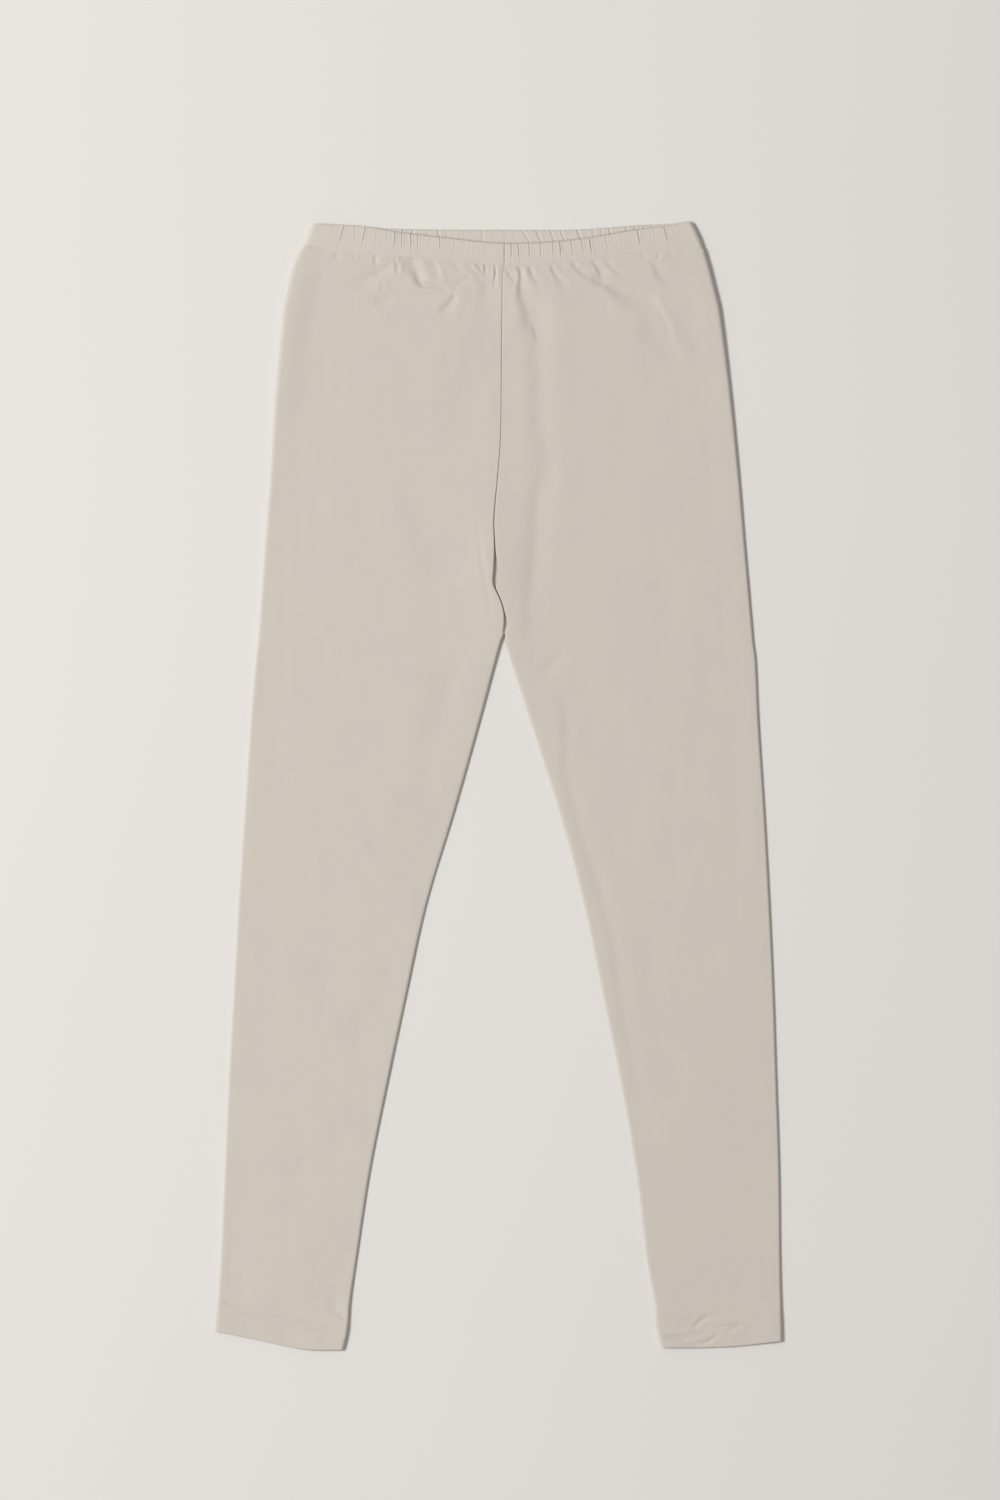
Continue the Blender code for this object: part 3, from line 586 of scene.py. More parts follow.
# Mesh layout of a leg: columns run from the front's seam edge over the front, round the outer fold and along
# the back, and rows run up from the hem, with their spacing up to each height
COLUMNS = {"front_end": 12, "front": 158, "side": 14, "back": 30, "back_end": 6}
COLUMN_COUNT = sum(COLUMNS.values())
FOLD_COLUMN = COLUMNS["front_end"] + COLUMNS["front"] + COLUMNS["side"] // 2
SLOT_SHARE = 0.25
SLOT_START = 2.0
FRONT_END, FRONT, SIDE, BACK, BACK_END = range(5)
COLUMNS_CROWD = 0.3
LegRows = namedtuple("LegRows", "top spacing")
LEG_START_Y = -454.0
LEG_ROWS = [LegRows(*row) for row in (
    (-440, 2),
    (100, 9),
    (165, 2),
    (220, 1.5),
    (380, 4.5),
    (436, 2.2),
    (458, 1.1),
)]
HEM_FACE_STEPS = 22
HEM_ROLL_STEPS = 8
HEM_INSIDE_STEPS = 8

# Stitches: two rows along each hem and along the waistband's lower edge
STITCH_LENGTH = 2.5
STITCH_PITCH = 3.0
STITCH_WIDTH = 0.42
STITCH_HEIGHT = 0.3
STITCH_SIDES = 8
STITCH_RINGS = 5
STITCH_ROWS = (1.2, 5.2)
STITCH_GROOVE = 0.1
UNDER_GROOVE = 0.25
STITCH_GROOVE_WIDTH = 0.7

SIDES = {"right": -1.0, "left": 1.0}


def smooth(t):
    """A ramp from 0 to 1 that starts and ends level."""
    t = np.clip(t, 0.0, 1.0)
    return t * t * (3.0 - 2.0 * t)


def through(knots, values, at):
    """The smooth curve through a row of values, read at any places."""
    last = len(knots) - 1
    before, after = np.maximum(np.arange(last + 1) - 1, 0), np.minimum(np.arange(last + 1) + 1, last)
    slopes = (values[after] - values[before]) / (knots[after] - knots[before])
    at = np.clip(at, knots[0], knots[-1])
    i = np.clip(np.searchsorted(knots, at) - 1, 0, last - 1)
    span = knots[i + 1] - knots[i]
    t = (at - knots[i]) / span
    into = t * (1.0 - t) ** 2 * span * slopes[i]
    out = t * t * (t - 1.0) * span * slopes[i + 1]
    return values[i] + (values[i + 1] - values[i]) * smooth(t) + into + out


def read(rows, column, at):
    """A table's column on the smooth curve through its rows, where its first column equals at."""
    knots = np.array([row[0] for row in rows])
    return through(knots, np.array([getattr(row, column) for row in rows]), at)


def sway(x, y, waves):
    """Soft unevenness between -1 and 1, in waves of a width and a length."""
    return np.array([noise.noise((a / waves.across, b / waves.along, waves.layer)) for a, b in zip(x, y)])


def fold_depth(folds, x, y):
    """How far soft folds lower the cloth. Each follows its line, with a low roll of cloth on both sides."""
    depth = np.zeros_like(x)
    for bends in folds.values():
        marks = np.arange(len(bends), dtype=float)
        at = np.linspace(0, marks[-1], FOLD_LINE_STEPS * (len(bends) - 1) + 1)
        line = np.array([through(marks, np.array(column), at) for column in zip(*bends)]).T
        reach = FOLD_REACH * line[:, 3:].max()
        low, high = line[:, :2].min(axis=0) - reach, line[:, :2].max(axis=0) + reach
        near = (x > low[0]) & (x < high[0]) & (y > low[1]) & (y < high[1])
        if not near.any():
            continue
        here = np.column_stack((x[near], y[near]))
        best = np.full(len(here), np.inf)
        deep, half = np.zeros(len(here)), np.ones(len(here))
        for start, end in zip(line, line[1:]):
            run = end[:2] - start[:2]
            t = np.clip((here - start[:2]) @ run / (run @ run), 0.0, 1.0)
            apart = here - start[:2] - t[:, None] * run
            off = np.linalg.norm(apart, axis=1)
            closer = off < best
            best = np.where(closer, off, best)
            deep = np.where(closer, start[2] + t * (end[2] - start[2]), deep)
            to_left = (run[0] * apart[:, 1] - run[1] * apart[:, 0]) / np.linalg.norm(run)
            left_share = smooth(to_left / FOLD_CREST + 0.5)
            width = start[3:] + t[:, None] * (end[3:] - start[3:])
            half = np.where(closer, width[:, 1] + (width[:, 0] - width[:, 1]) * left_share, half)
        off = best / half
        roll = FOLD_ROLL * np.exp(-((off - FOLD_ROLL_AT) / FOLD_ROLL_WIDTH) ** 2)
        depth[near] += deep * (np.exp(-off ** 2) - roll)
    return depth


def gather_depth(gathers, x, half):
    """How deep the waistband's gathers are at places along its lower edge, with a low roll beside each."""
    depth = 0.0
    for gather in gathers:
        off = np.abs(x - gather.low) / half
        roll = GATHER_ROLL * np.exp(-((off - GATHER_ROLL_AT) / GATHER_ROLL_WIDTH) ** 2)
        depth = depth + gather.depth ** GATHER_POWER * (np.exp(-off ** 2) - roll)
    return depth


def zone_of(u):
    """The zone of a leg's section that each column lies in, and how far along it, from 0 to 1."""
    counts = np.array(list(COLUMNS.values()))
    ends = np.cumsum(counts)
    zone = np.minimum(np.searchsorted(ends, u), len(counts) - 1)
    return zone, (u - (ends - counts)[zone]) / counts[zone]


def crowded(t):
    """Places the columns of a layer, closer together towards its two folds."""
    return t + COLUMNS_CROWD * ((1 - np.cos(pi * t)) / 2 - t)


def facing_of(zone, t):
    """How far each place of the section faces up: 1 on the front, -1 on the back, 0 at the folds."""
    ends = np.where(zone == FRONT_END, np.sin(t * pi / 2), -np.sin((1 - t) * pi / 2))
    return np.select([zone == FRONT, zone == SIDE, zone == BACK], [1.0, np.sin(pi / 2 - t * pi), -1.0], ends)


def across_of(zone, t):
    """How far a place of the section lies from the outer fold, 1 at the inner edge."""
    return np.select([zone == SIDE, zone == FRONT, zone == BACK], [0.0, 1 - crowded(t), crowded(t)], 1.0)


def section(side, zone, t, y):
    """The outside of a leg's cloth round its section at y: x, z, and how free fine folds are there."""
    s = SIDES[side]
    rise = {name: read(RISES, name, y) for name in Rise._fields[1:]}
    above = y > CROTCH_Y
    seam_x = np.where(zone < BACK, read(CENTRE_SEAM, "front", y), read(CENTRE_SEAM, "back", y))
    inner = np.where(above, seam_x, read(LEG_EDGES[side], "inner", y)) + s * HALF_GAP
    outer = np.where(above, read(HIP_EDGES, side, y), read(LEG_EDGES[side], "outer", y))
    opened = np.where(above, smooth((y - CROTCH_Y) / BACK_CLOSES), 0.0)
    slot = np.where(above & (zone < SIDE), read(CENTRE_SEAM, side, y), 0.0)
    lip, fold = inner + s * (slot + rise["lip"]), outer - s * FOLD_SHARE * rise["outer"]

    flat = SLOT_SHARE * smooth((y - CROTCH_Y) / SLOT_START)
    climb = np.clip((t - flat) / (1 - flat), 0.0, 1.0)
    quarter = np.where(zone == FRONT_END, climb, 1 - t) * pi / 2
    end_x = inner + s * (slot * np.clip(t / SLOT_SHARE, 0.0, 1.0) + rise["lip"] * (1 - np.cos(quarter)))
    front_end_z = rise["seam"] + (rise["inner"] - rise["seam"]) * np.sin(quarter)
    back_end_z = rise["seam"] * (1 - opened) * (1 - np.sin(quarter))

    turn = pi / 2 - t * pi
    side_x = fold + s * FOLD_SHARE * rise["outer"] * np.cos(turn)
    side_z = rise["outer"] / 2 * (1 + np.sin(turn))

    front_x = lip + (fold - lip) * crowded(t)
    back_x = fold + (lip - fold) * crowded(t)
    near_lip = smooth(1 - np.abs(front_x - lip) / SEAM_RISE)
    near_fold = smooth(1 - np.abs(front_x - fold) / EDGE_RISE)
    front_z = rise["middle"] + (rise["inner"] - rise["middle"]) * near_lip
    front_z += (rise["outer"] - rise["middle"]) * near_fold

    zones = [zone == FRONT_END, zone == FRONT, zone == SIDE, zone == BACK]
    x = np.select(zones, [end_x, front_x, side_x, back_x], end_x)
    z = np.select(zones, [front_end_z, front_z, side_z, 0.0], back_end_z)
    from_edge = smooth((np.abs(x - inner) - slot) / SEAM_FOLD_FADE)
    from_fold = smooth(np.abs(x - fold) / SIDE_FOLD_FADE)
    free = np.select(zones, [from_edge, from_fold * from_edge, 0.0, from_fold], from_edge)
    return x, z, free


def waist_join(x, zone, t):
    """The y of the waistband's lower edge over a place of the section, passing to the back round the fold."""
    front, back = read(BAND_LINES, "front_low", x), read(BAND_LINES, "back_low", x)
    share = np.select([zone < SIDE, zone == SIDE], [0.0, (1 - np.sin(pi / 2 - t * pi)) / 2], 1.0)
    return front + (back - front) * share


def relief(zone, free, x, y):
    """How far the fine folds and the soft unevenness move a leg's cloth up."""
    front = zone < SIDE
    lift = -fold_depth(FRONT_FOLDS, x, y)
    lift += FRONT_SWAY * sway(x, y, FRONT_WAVES) + FINE_SWAY * sway(x, y, FINE_WAVES)
    behind = fold_depth(BACK_FOLDS, x, y) + BACK_SWAY * (1 + sway(x, y, BACK_WAVES))
    return free * np.where(front, lift, np.maximum(behind, 0.0))


def leg_points(side, u, v):
    """The outside of the leg's cloth at columns u and heights v, before it meets the hem and waist lines."""
    zone, t = zone_of(u)
    across = across_of(zone, t)
    from_hem = smooth(1 - (v - LEG_START_Y) / HEM_BLEND)
    y = v + from_hem * (read(HEMS[side], "stitch", across) - LEG_START_Y)
    to_waist = smooth(1 - (WAIST_JOIN_Y - y) / WAIST_BLEND)
    level = y
    x, z, free = section(side, zone, t, y)
    for _ in range(WAIST_STEPS):
        y = level + to_waist * (waist_join(x, zone, t) - WAIST_JOIN_Y)
        x, z, free = section(side, zone, t, y)
    z = z + relief(zone, free, x, y)
    z += below_band(zone, t, x, z, waist_join(x, zone, t) - y)
    z += hem_groove(zone, t, y - read(HEMS[side], "stitch", across))
    return x, y, z


def below_band(zone, t, x, z, drop):
    """How the cloth puffs and puckers just below the waistband, and meets its stitched edge."""
    facing = facing_of(zone, t)
    puff = PUFF * np.exp(-((drop - PUFF_AT) / PUFF_WIDTH) ** 2)
    fade = smooth(1 - drop / PUCKER_LENGTH)
    pucker = np.where(facing > 0, FRONT_PUCKER * gather_depth(FRONT_GATHERS, x, PUCKER_HALF_WIDTH),
                      PUCKER_SHARE * gather_depth(BACK_GATHERS, x, PUCKER_HALF_WIDTH)) * fade
    edge = CASING_WALL * (1 - BAND_FULLNESS) - CASING_JOIN_SINK
    join = CASING_WALL + BAND_CAVITY + edge
    blend = smooth(1 - drop / JOIN_BLEND)
    front = (join - z) * blend + (puff - pucker) * (1 - blend)
    behind = np.maximum(pucker, 0.0) * (1 - blend)
    return np.where(facing > 0, front * facing, -behind * facing)


def hem_groove(zone, t, off):
    """The slight grooves of the hem's two stitch rows, where off is the height over the hem's seam."""
    rows = sum(np.exp(-((off + row) / STITCH_GROOVE_WIDTH) ** 2) for row in STITCH_ROWS)
    facing = facing_of(zone, t)
    return -np.where(facing > 0, STITCH_GROOVE, UNDER_GROOVE) * rows * facing


def hem_points(side, u, v):
    """The hem's cloth at columns u and rows v: down the outside, round the folded end and up the inside."""
    s = SIDES[side]
    zone, t = zone_of(u)
    across = across_of(zone, t)
    radius = HEM_WALL / 2
    end = read(HEMS[side], "end", across) + radius
    stitch = read(HEMS[side], "stitch", across)
    turn = np.clip((v - HEM_FACE_STEPS) / HEM_ROLL_STEPS, 0.0, 1.0) * pi
    down = np.clip(v / HEM_FACE_STEPS, 0.0, 1.0)
    up = np.clip((v - HEM_FACE_STEPS - HEM_ROLL_STEPS) / HEM_INSIDE_STEPS, 0.0, 1.0)
    y = stitch + (end - stitch) * (down - up) - radius * np.sin(turn)
    inward = radius * (1 - np.cos(turn))
    x, z, free = section(side, zone, t, y)
    ahead, behind = neighbours(side, u, y)
    run = np.array((ahead[0] - behind[0], ahead[1] - behind[1]))
    run /= np.linalg.norm(run, axis=0)
    lift = relief(zone, free, x, y) + hem_groove(zone, t, y - stitch)
    lift *= 1 - HEM_INSIDE_CALM * inward / HEM_WALL
    return x + s * run[1] * inward, y, z - s * run[0] * inward + lift


def neighbours(side, u, y):
    """The section just ahead of and just behind each column, round the closed hem."""
    places = []
    for shift in (COLUMN_NUDGE, -COLUMN_NUDGE):
        zone, t = zone_of((u + shift) % COLUMN_COUNT)
        places.append(section(side, zone, t, y)[:2])
    return places


def casing_section():
    """The section of the waistband across its wall, as shares of its height and of its thickness."""
    roll = CASING_ROLL / CASING_HEIGHT
    up = np.linspace(0.0, 1 - roll, CASING_FACE_STEPS)
    turn = np.linspace(0.0, pi, CASING_ROLL_STEPS + 2)[1:-1]
    height = np.concatenate((up, 1 - roll + roll * np.sin(turn), up[::-1]))
    depth = np.concatenate((np.ones_like(up), (1 + np.cos(turn)) / 2, np.zeros_like(up)))
    return height, depth


def band_reach(side):
    """The x of a waistband half's lower edge at the seam, and where it starts to turn at the side."""
    s = SIDES[side]
    return BAND_SEAM_X + s * HALF_GAP, BAND_ENDS[side].low - s * BAND_FOLD_WIDTH


def band_stations(side):
    """Stations of a waistband half: x at the lower edge, and the turn from front (up) to back (down)."""
    seam, fold = band_reach(side)
    turns = pi / 2 - pi * np.arange(1, SIDE_STATIONS) / SIDE_STATIONS
    low = np.concatenate((np.linspace(seam, fold, FRONT_STATIONS), np.full(len(turns), fold),
                          np.linspace(fold, seam, BACK_STATIONS)))
    turn = np.concatenate((np.full(FRONT_STATIONS, pi / 2), turns, np.full(BACK_STATIONS, -pi / 2)))
    return low, turn


def top_of(side, gathers, low):
    """The x at the top edge over a place on the lower edge, as the gathers slant."""
    s = SIDES[side]
    seam, fold = band_reach(side)
    pairs = [(seam, seam), (fold, BAND_ENDS[side].top - s * BAND_FOLD_WIDTH)]
    pairs += [(g.low, g.top) for g in gathers if s * (g.low - BAND_SEAM_X) > 0]
    lows, tops = np.array(sorted(pairs)).T
    return np.interp(low, lows, tops)


def band_points(side, low, turn, height, depth):
    """The waistband at stations (low, turn) and at places of its section (height, depth)."""
    s = SIDES[side]
    face = np.sin(turn)
    front = face > 0
    top = np.where(front, top_of(side, FRONT_GATHERS, low), top_of(side, BACK_GATHERS, low))
    x = low + (top - low) * height
    full = CASING_WALL * (1 - BAND_FULLNESS + BAND_FULLNESS * np.sin(pi * np.clip(height, 0, 1)))
    thick = full * depth
    share = (1 - face) / 2
    low_y = read(BAND_LINES, "front_low", x) * (1 - share) + read(BAND_LINES, "back_low", x) * share
    top_y = read(BAND_LINES, "front_top", x) * (1 - share) + read(BAND_LINES, "back_top", x) * share
    middle = CASING_WALL + BAND_CAVITY / 2
    z = middle + (BAND_CAVITY / 2 + thick) * face + (full - CASING_WALL) * share
    x = x + s * np.cos(turn) * (BAND_FOLD_WIDTH - CASING_WALL + thick)

    gathers = np.where(front, gather_depth(FRONT_GATHERS, low, GATHER_HALF_WIDTH),
                       INSIDE_SCALE * gather_depth(BACK_GATHERS, low, INSIDE_HALF_WIDTH))
    reach = GATHERS_LOW + (1 - GATHERS_LOW) * smooth((height - GATHERS_END) / GATHERS_REACH)
    groove = GATHER_SCALE * gathers * reach * (1 - np.cos(turn))
    ripple = CASING_SWAY * sway(low, height * CASING_HEIGHT, CASING_WAVES)
    off = np.abs(low - BAND_SEAM_X)
    seam = SEAM_SINK * np.where(front, 1.0, INSIDE_SEAM_SHARE) * np.exp(-(off / SEAM_SINK_WIDTH) ** 2)
    rise = height * (top_y - low_y)
    rows = sum(np.exp(-((rise - row) / STITCH_GROOVE_WIDTH) ** 2) for row in STITCH_ROWS)
    join = CASING_JOIN_SINK * np.exp(-(rise / CASING_JOIN_WIDTH) ** 2)
    sink = groove + seam + STITCH_GROOVE * rows + join - ripple
    shown = np.where(front, depth, 1 - depth)
    z += UNDER_GROOVE * rows * share * depth - np.abs(face) * sink * shown
    y = low_y + (top_y - low_y) * height
    edge = read(BAND_LINES, "front_top", x)
    beyond = smooth((y - edge - RIM_GAP) / RIM_SLOPE) * smooth((top_y - y) / RIM_FALL + RIM_END)
    z += RIM_RISE * share * (1 - depth) * beyond * smooth((top_y - edge) / RIM_FADE)
    y -= TOP_SCALLOP * np.clip(gathers, 0, None) * smooth((height - SCALLOP_START) / SCALLOP_SPAN)
    return x, y, z


def set_cloth_map(bm, across, along):
    """Give the cloth its map in metres: across and along hold one length for each vertex of a fresh grid."""
    uv = bm.loops.layers.uv.new("cloth")
    for face in bm.faces:
        for loop in face.loops:
            i = loop.vert.index
            loop[uv].uv = (across[i] * MM, along[i] * MM)


def placed_grid(columns, rows, place):
    """A grid whose vertices a function places, with columns u and rows v counted from 0."""
    bm = bmesh.new()
    bmesh.ops.create_grid(bm, x_segments=columns, y_segments=rows, size=0.5)
    bm.verts.index_update()
    grid = np.array([vert.co for vert in bm.verts])
    u, v = np.rint((grid[:, 0] + 0.5) * columns), np.rint((grid[:, 1] + 0.5) * rows)
    points = np.column_stack(place(u, v))
    for vert, point in zip(bm.verts, points):
        vert.co = point * MM
    return bm, u.astype(int), v.astype(int), points


def lengths(points, u, v, axis_u=True):
    """The length of cloth from the first column, or from the first row, to each vertex of a placed grid."""
    grid = np.zeros((v.max() + 1, u.max() + 1, 3))
    grid[v, u] = points
    axis = 1 if axis_u else 0
    steps = np.linalg.norm(np.diff(grid, axis=axis), axis=2)
    start = np.zeros_like(np.take(steps, [0], axis=axis))
    total = np.concatenate((start, np.cumsum(steps, axis=axis)), axis=axis)
    return total, total[v, u]


def new_object(name, data):
    """An object of the scene that holds a mesh, a light or a camera."""
    made = bpy.data.objects.new(name, data)
    bpy.context.scene.collection.objects.link(made)
    return made


def make_piece(bm, name, material, wall=None):
    """Make an object of a finished mesh, give a sheet its wall, and ride it on the body."""
    bmesh.ops.remove_doubles(bm, verts=bm.verts, dist=WELD)
    mesh = bpy.data.meshes.new(name)
    bm.to_mesh(mesh)
    bm.free()
    mesh.materials.append(material)
    mesh.shade_smooth()
    piece = new_object(name, mesh)
    if wall:
        solid = piece.modifiers.new("wall", "SOLIDIFY")
        solid.thickness = wall * MM
        solid.offset = -1.0
        solid.use_quality_normals = True
        seen = bpy.context.evaluated_depsgraph_get()
        piece.data = bpy.data.meshes.new_from_object(piece.evaluated_get(seen))
        piece.modifiers.clear()
    piece.data.set_sharp_from_angle(angle=radians(SHARP_ANGLE))
    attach(piece, "root")
    return piece


def leg_levels():
    """The heights of a leg's rows."""
    levels = [LEG_START_Y]
    for band in LEG_ROWS:
        count = round((band.top - levels[-1]) / band.spacing)
        levels += list(np.linspace(levels[-1], band.top, count + 1)[1:])
    return np.array(levels)


def make_leg(side, material):
    """One leg piece, from its hem seam to the waistband."""
    levels = leg_levels()

    def place(u, v):
        return leg_points(side, u, levels[v.astype(int)])

    bm, u, v, points = placed_grid(COLUMN_COUNT, len(levels) - 1, place)
    total, across = lengths(points, u, v)
    set_cloth_map(bm, across - total[v, FOLD_COLUMN], points[:, 1])
    if SIDES[side] < 0:
        bmesh.ops.reverse_faces(bm, faces=bm.faces)
    piece = make_piece(bm, "leg_" + side + "_cloth", material, JERSEY_WALL)
    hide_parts("leg_" + side)
    return piece


def make_hem(side, material):
    """One turned-up hem, closed round its folded end."""
    rows = HEM_FACE_STEPS + HEM_ROLL_STEPS + HEM_INSIDE_STEPS
    bm, u, v, points = placed_grid(COLUMN_COUNT, rows, lambda u, v: hem_points(side, u, v))
    total = lengths(points, u, v)[0]
    across = total[0, u] - total[0, FOLD_COLUMN]
    set_cloth_map(bm, across, -lengths(points, u, v, axis_u=False)[1])
    bmesh.ops.remove_doubles(bm, verts=bm.verts, dist=WELD)
    rims = [edge for edge in bm.edges if edge.is_boundary]
    bmesh.ops.bridge_loops(bm, edges=rims)
    bmesh.ops.recalc_face_normals(bm, faces=bm.faces)
    piece = make_piece(bm, "hem_" + side + "_cloth", material)
    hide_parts("hem_" + side)
    return piece


def make_waistband(side, material):
    """One half of the waistband, from the front seam round the outer fold and back to the back seam."""
    low, turn = band_stations(side)
    height, depth = casing_section()
    around = len(height)
    ring = np.arange(around + 1) % around

    def place(u, v):
        station, point = v.astype(int), ring[u.astype(int)]
        return band_points(side, low[station], turn[station], height[point], depth[point])

    bm, u, v, points = placed_grid(around, len(low) - 1, place)
    along_band = lengths(points, u, v, axis_u=False)[1]
    round_wall = lengths(points, u, v)[1]
    set_cloth_map(bm, along_band, round_wall)
    bmesh.ops.remove_doubles(bm, verts=bm.verts, dist=WELD)
    bmesh.ops.holes_fill(bm, edges=[e for e in bm.edges if e.is_boundary], sides=0)
    bmesh.ops.recalc_face_normals(bm, faces=bm.faces)
    piece = make_piece(bm, "waistband_" + side + "_cloth", material)
    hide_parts("waistband_" + side)
    return piece


def stitch_along(bm, points, outward):
    """Lay stitches along a line on the cloth, each a small bead drawn out along it."""
    steps = np.linalg.norm(np.diff(points, axis=0), axis=1)
    run = np.concatenate(([0.0], np.cumsum(steps)))
    count = int(run[-1] / STITCH_PITCH)
    scrap = bpy.data.meshes.new("stitch")
    for middle in (np.arange(count) + 0.5) * run[-1] / count:
        ends = [Vector([np.interp(middle + shift, run, points[:, i]) for i in range(3)])
                for shift in (-STITCH_LENGTH / 2, STITCH_LENGTH / 2)]
        out = Vector([np.interp(middle, run, outward[:, i]) for i in range(3)])
        along = (ends[1] - ends[0]).normalized()
        out = (out - along * out.dot(along)).normalized()
        turn = Matrix((out.cross(along), out, along))
        size = Vector((STITCH_WIDTH, STITCH_HEIGHT, STITCH_LENGTH))
        seat = (ends[0] + ends[1]) / 2
        seat.z = max(seat.z, (turn.col[2] * size / 2).length)
        place = (Matrix.Translation(seat * MM) @ turn.transposed().to_4x4() @ Matrix.Scale(MM, 4)
                 @ Matrix.Diagonal(size).to_4x4())
        bead = bmesh.new()
        bmesh.ops.create_uvsphere(bead, u_segments=STITCH_SIDES, v_segments=STITCH_RINGS, radius=0.5,
                                  matrix=place)
        bead.to_mesh(scrap)
        bead.free()
        bm.from_mesh(scrap)
    bpy.data.meshes.remove(scrap)


def hem_stitches(side, material):
    """The two stitch rows round a hem."""
    bm = bmesh.new()
    for row in STITCH_ROWS:
        u = np.linspace(0.0, COLUMN_COUNT, STITCH_LINE_POINTS)
        zone, t = zone_of(u)
        y = read(HEMS[side], "stitch", across_of(zone, t)) - row
        x, z, free = section(side, zone, t, y)
        z = z + relief(zone, free, x, y) + hem_groove(zone, t, -row * np.ones_like(y))
        points = np.column_stack((x, y, z))
        stitch_along(bm, points, outward_of(points, SIDES[side]))
    return make_piece(bm, "stitches_hem_" + side, material)


def outward_of(points, s):
    """The direction out of a tube lying along Y, at the points of a line round it."""
    run = np.gradient(points[:, [0, 2]], axis=0)
    run /= np.linalg.norm(run, axis=1)[:, None]
    return np.column_stack((-s * run[:, 1], np.zeros(len(run)), s * run[:, 0]))


def waist_stitches(side, material):
    """The two stitch rows along a waistband half's lower edge."""
    bm = bmesh.new()
    low, turn = band_stations(side)
    for row in STITCH_ROWS:
        height = np.full(len(low), row / CASING_HEIGHT)
        points = np.column_stack(band_points(side, low, turn, height, np.ones(len(low))))
        outward = np.column_stack((SIDES[side] * np.cos(turn), np.zeros(len(turn)), np.sin(turn)))
        stitch_along(bm, points, outward)
    return make_piece(bm, "stitches_waistband_" + side, material)


def new_material(name):
    """A node material, its tree and its shader."""
    material = bpy.data.materials.new(name)
    material.use_nodes = True
    tree = material.node_tree
    return material, tree, tree.nodes["Principled BSDF"]


def maths(tree, operation, *inputs):
    """One Math node fed by numbers or sockets."""
    node = tree.nodes.new("ShaderNodeMath")
    node.operation = operation
    for slot, value in zip(node.inputs, inputs):
        if isinstance(value, (int, float)):
            slot.default_value = value
        else:
            tree.links.new(value, slot)
    return node.outputs[0]


def noise_of(tree, vector, scale, detail):
    """A noise texture read at a vector."""
    node = tree.nodes.new("ShaderNodeTexNoise")
    node.inputs["Scale"].default_value = scale
    node.inputs["Detail"].default_value = detail
    tree.links.new(vector, node.inputs["Vector"])
    return node.outputs["Fac"]


def knit_height(tree, uv):
    """The height of fine jersey: columns of loops, each a row of small slanted legs."""
    split = tree.nodes.new("ShaderNodeSeparateXYZ")
    tree.links.new(uv, split.inputs[0])
    wale = maths(tree, "FRACT", maths(tree, "DIVIDE", split.outputs[0], WALE * MM))
    off = maths(tree, "ABSOLUTE", maths(tree, "MULTIPLY_ADD", wale, 2.0, -1.0))
    course = maths(tree, "DIVIDE", split.outputs[1], COURSE * MM)
    slant = maths(tree, "MULTIPLY_ADD", off, 0.5, course)
    loop = maths(tree, "SINE", maths(tree, "MULTIPLY", maths(tree, "FRACT", slant), pi))
    rib = maths(tree, "SUBTRACT", 1.0, maths(tree, "POWER", off, 2.0))
    return maths(tree, "MULTIPLY", rib, maths(tree, "MULTIPLY_ADD", loop, 0.5, 0.5))


def bump(tree, height, distance, strength, under=None):
    """A Bump node over a height, on top of another one where given."""
    node = tree.nodes.new("ShaderNodeBump")
    node.inputs["Distance"].default_value = distance * MM
    node.inputs["Strength"].default_value = strength
    tree.links.new(height, node.inputs["Height"])
    if under:
        tree.links.new(under, node.inputs["Normal"])
    return node.outputs["Normal"]


def object_place(tree):
    """The place of each point on the piece itself."""
    return tree.nodes.new("ShaderNodeTexCoord").outputs["Object"]


def two_tones(tree, share, colour, low_shade, high_shade, ends=(0.0, 1.0)):
    """A colour that passes from one shade of itself to another."""
    ramp = tree.nodes.new("ShaderNodeValToRGB")
    for stop, end, shade in zip(ramp.color_ramp.elements, ends, (low_shade, high_shade)):
        stop.position = end
        stop.color = (*[c * s for c, s in zip(colour, shade)], 1.0)
    tree.links.new(share, ramp.inputs[0])
    return ramp.outputs[0]


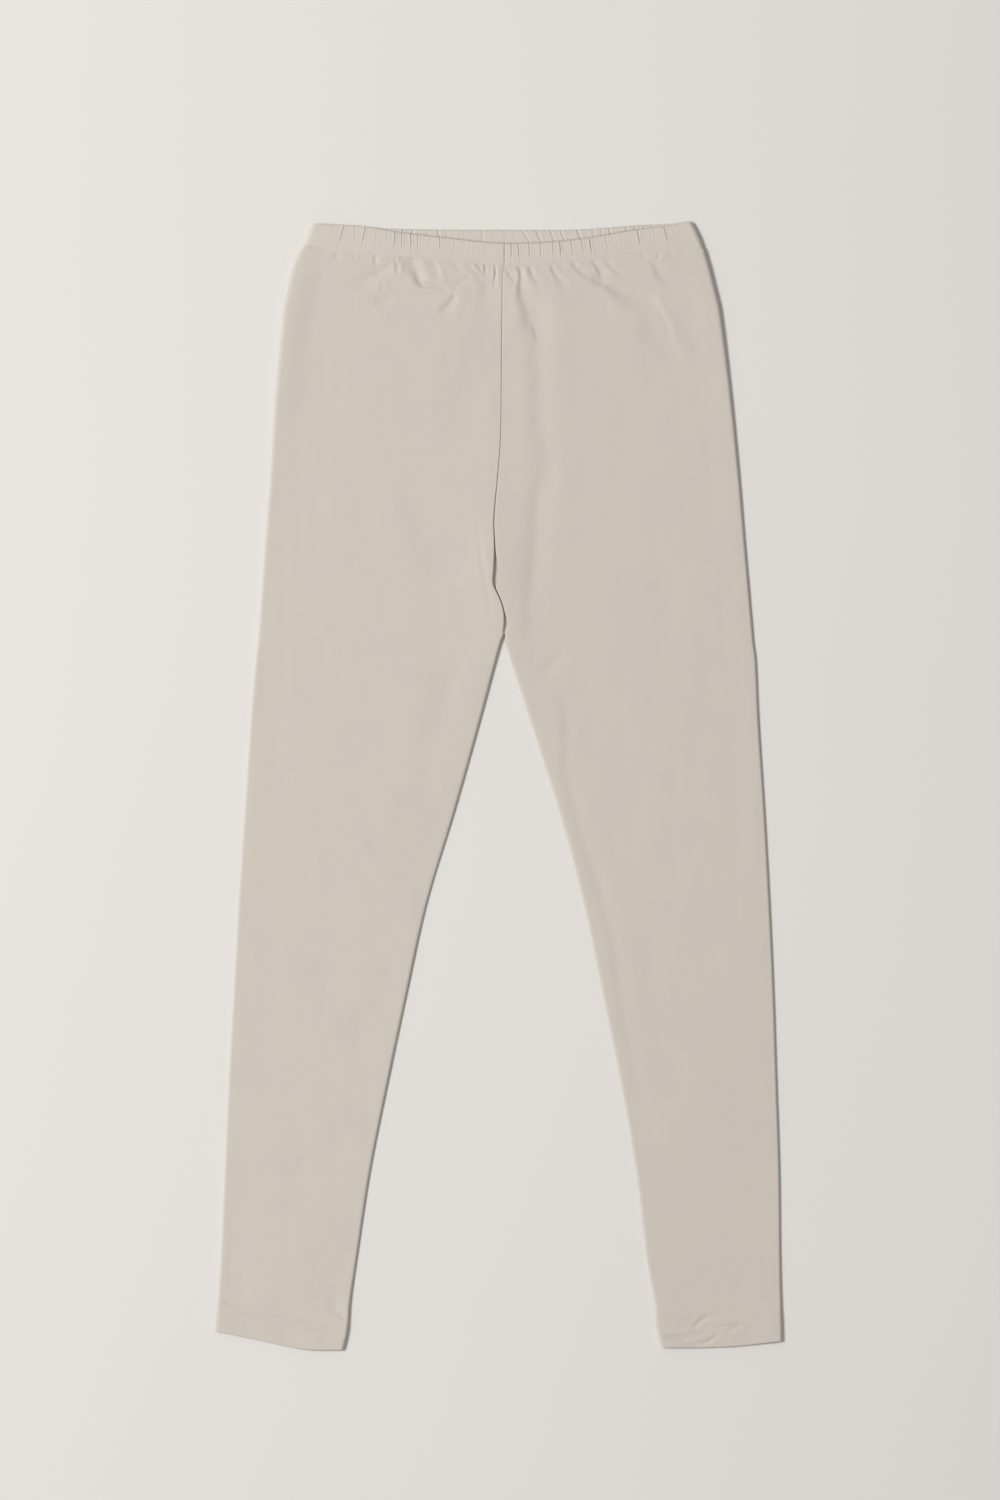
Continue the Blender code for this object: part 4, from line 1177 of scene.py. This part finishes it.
def jersey(name, colour):
    """Matt fine cotton jersey, with a faint mottle, a knit of fine loops with painted shade between them, and
    a soft unevenness.
    """
    material, tree, shader = new_material(name)
    place = object_place(tree)
    uv = tree.nodes.new("ShaderNodeUVMap")
    uv.uv_map = "cloth"
    mottle = noise_of(tree, place, MOTTLE_SCALE, 3.0)
    tones = two_tones(tree, mottle, colour, COOL_SHARE, WARM_SHARE, MOTTLE_ENDS)
    knit = knit_height(tree, uv.outputs[0])
    # Painted shade: the base colour darkens between the knit's loops, where the knit's height is low
    shade = maths(tree, "MULTIPLY_ADD", knit, KNIT_PAINTED_SHADE, 1.0 - KNIT_PAINTED_SHADE * KNIT_MIDDLE)
    mix = tree.nodes.new("ShaderNodeMix")
    mix.data_type = "RGBA"
    mix.blend_type = "MULTIPLY"
    mix.inputs["Factor"].default_value = 1.0
    tree.links.new(tones, mix.inputs["A"])
    tree.links.new(shade, mix.inputs["B"])
    tree.links.new(mix.outputs["Result"], shader.inputs["Base Color"])
    rough = maths(tree, "MULTIPLY_ADD", noise_of(tree, place, CLOTH_ROUGHNESS_SCALE, 2.0),
                  CLOTH_ROUGHNESS_SPREAD, CLOTH_ROUGHNESS)
    tree.links.new(rough, shader.inputs["Roughness"])
    lumps = bump(tree, noise_of(tree, place, LUMP_SCALE, 2.0), LUMP_HEIGHT, 1.0)
    fuzz = bump(tree, noise_of(tree, place, FUZZ_SCALE, 3.0), FUZZ_HEIGHT, 1.0, lumps)
    tree.links.new(bump(tree, knit, KNIT_HEIGHT, KNIT_STRENGTH, fuzz), shader.inputs["Normal"])
    shader.inputs["Specular IOR Level"].default_value = CLOTH_SPECULAR
    shader.inputs["Sheen Weight"].default_value = CLOTH_SHEEN
    shader.inputs["Sheen Roughness"].default_value = CLOTH_SHEEN_ROUGHNESS
    return material


def thread(name):
    """Polyester sewing thread in the cloth's colour, with the twist of its two plies and painted shade in the
    grooves between them.
    """
    material, tree, shader = new_material(name)
    wave = tree.nodes.new("ShaderNodeTexWave")
    wave.inputs["Scale"].default_value = THREAD_TWIST_SCALE
    wave.bands_direction = "DIAGONAL"
    tree.links.new(object_place(tree), wave.inputs["Vector"])
    twist = wave.outputs["Fac"]
    # Painted shade: the thread's colour darkens in the grooves of its twist
    tones = two_tones(tree, twist, THREAD_COLOUR, [THREAD_PAINTED_SHADE] * 3, [1.0] * 3)
    tree.links.new(tones, shader.inputs["Base Color"])
    tree.links.new(bump(tree, twist, THREAD_TWIST_HEIGHT, THREAD_TWIST_STRENGTH), shader.inputs["Normal"])
    shader.inputs["Roughness"].default_value = THREAD_ROUGHNESS
    return material


def floor_material():
    """Plain pale matt floor."""
    material, tree, shader = new_material("floor")
    mottle = noise_of(tree, object_place(tree), FLOOR_MOTTLE_SCALE, 2.0)
    tones = two_tones(tree, mottle, FLOOR_COLOUR, [FLOOR_SHADE] * 3, [1.0] * 3)
    tree.links.new(tones, shader.inputs["Base Color"])
    shader.inputs["Roughness"].default_value = FLOOR_ROUGHNESS
    return material


def make_floor():
    """The floor that the leggings lie on."""
    bm = bmesh.new()
    bmesh.ops.create_grid(bm, x_segments=1, y_segments=1, size=FLOOR_SIZE)
    bmesh.ops.translate(bm, verts=bm.verts, vec=(0.0, 0.0, -FLOOR_DROP * MM))
    mesh = bpy.data.meshes.new("floor")
    bm.to_mesh(mesh)
    bm.free()
    mesh.materials.append(floor_material())
    new_object("floor", mesh)


def area_light(name, place, aim, size, watts, colour):
    """A square soft light at a place, aimed at a point."""
    data = bpy.data.lights.new(name, "AREA")
    data.size = size
    data.energy = watts
    data.color = colour
    light = new_object(name, data)
    light.location = place
    light.rotation_euler = (Vector(aim) - Vector(place)).to_track_quat("-Z", "Y").to_euler()


def make_studio():
    """Soft light from the left, a pale surround, and the camera straight above."""
    area_light("key", KEY_PLACE, CAMERA_AIM, KEY_SIZE, KEY_WATTS, KEY_COLOUR)
    world = bpy.data.worlds.new("surround")
    world.use_nodes = True
    back = world.node_tree.nodes["Background"]
    back.inputs["Color"].default_value = SURROUND_COLOUR
    back.inputs["Strength"].default_value = SURROUND
    scene = bpy.context.scene
    scene.world = world
    scene.view_settings.view_transform = "Standard"
    data = bpy.data.cameras.new("camera")
    data.sensor_width = SENSOR
    data.lens = SENSOR * CAMERA_HEIGHT / PHOTO_LENGTH
    camera = new_object("camera", data)
    camera.location = (CAMERA_AIM[0], CAMERA_AIM[1], CAMERA_HEIGHT)
    scene.camera = camera


def main():
    """Make every piece with its cloth, and set up the studio."""
    jersey_cloth = jersey("jersey", CLOTH_COLOUR)
    casing_cloth = jersey("casing", CASING_COLOUR)
    # The hems get the darker colour: painted shade where the light falls off towards them
    hem_cloth_painted_shade = jersey("hem", HEM_PAINTED_SHADE_COLOUR)
    sewing = thread("thread")
    for side in SIDES:
        leg = make_leg(side, jersey_cloth)
        hem = make_hem(side, hem_cloth_painted_shade)
        band = make_waistband(side, casing_cloth)
        hem_rows = hem_stitches(side, sewing)
        waist_rows = waist_stitches(side, sewing)
    make_floor()
    make_studio()


main()
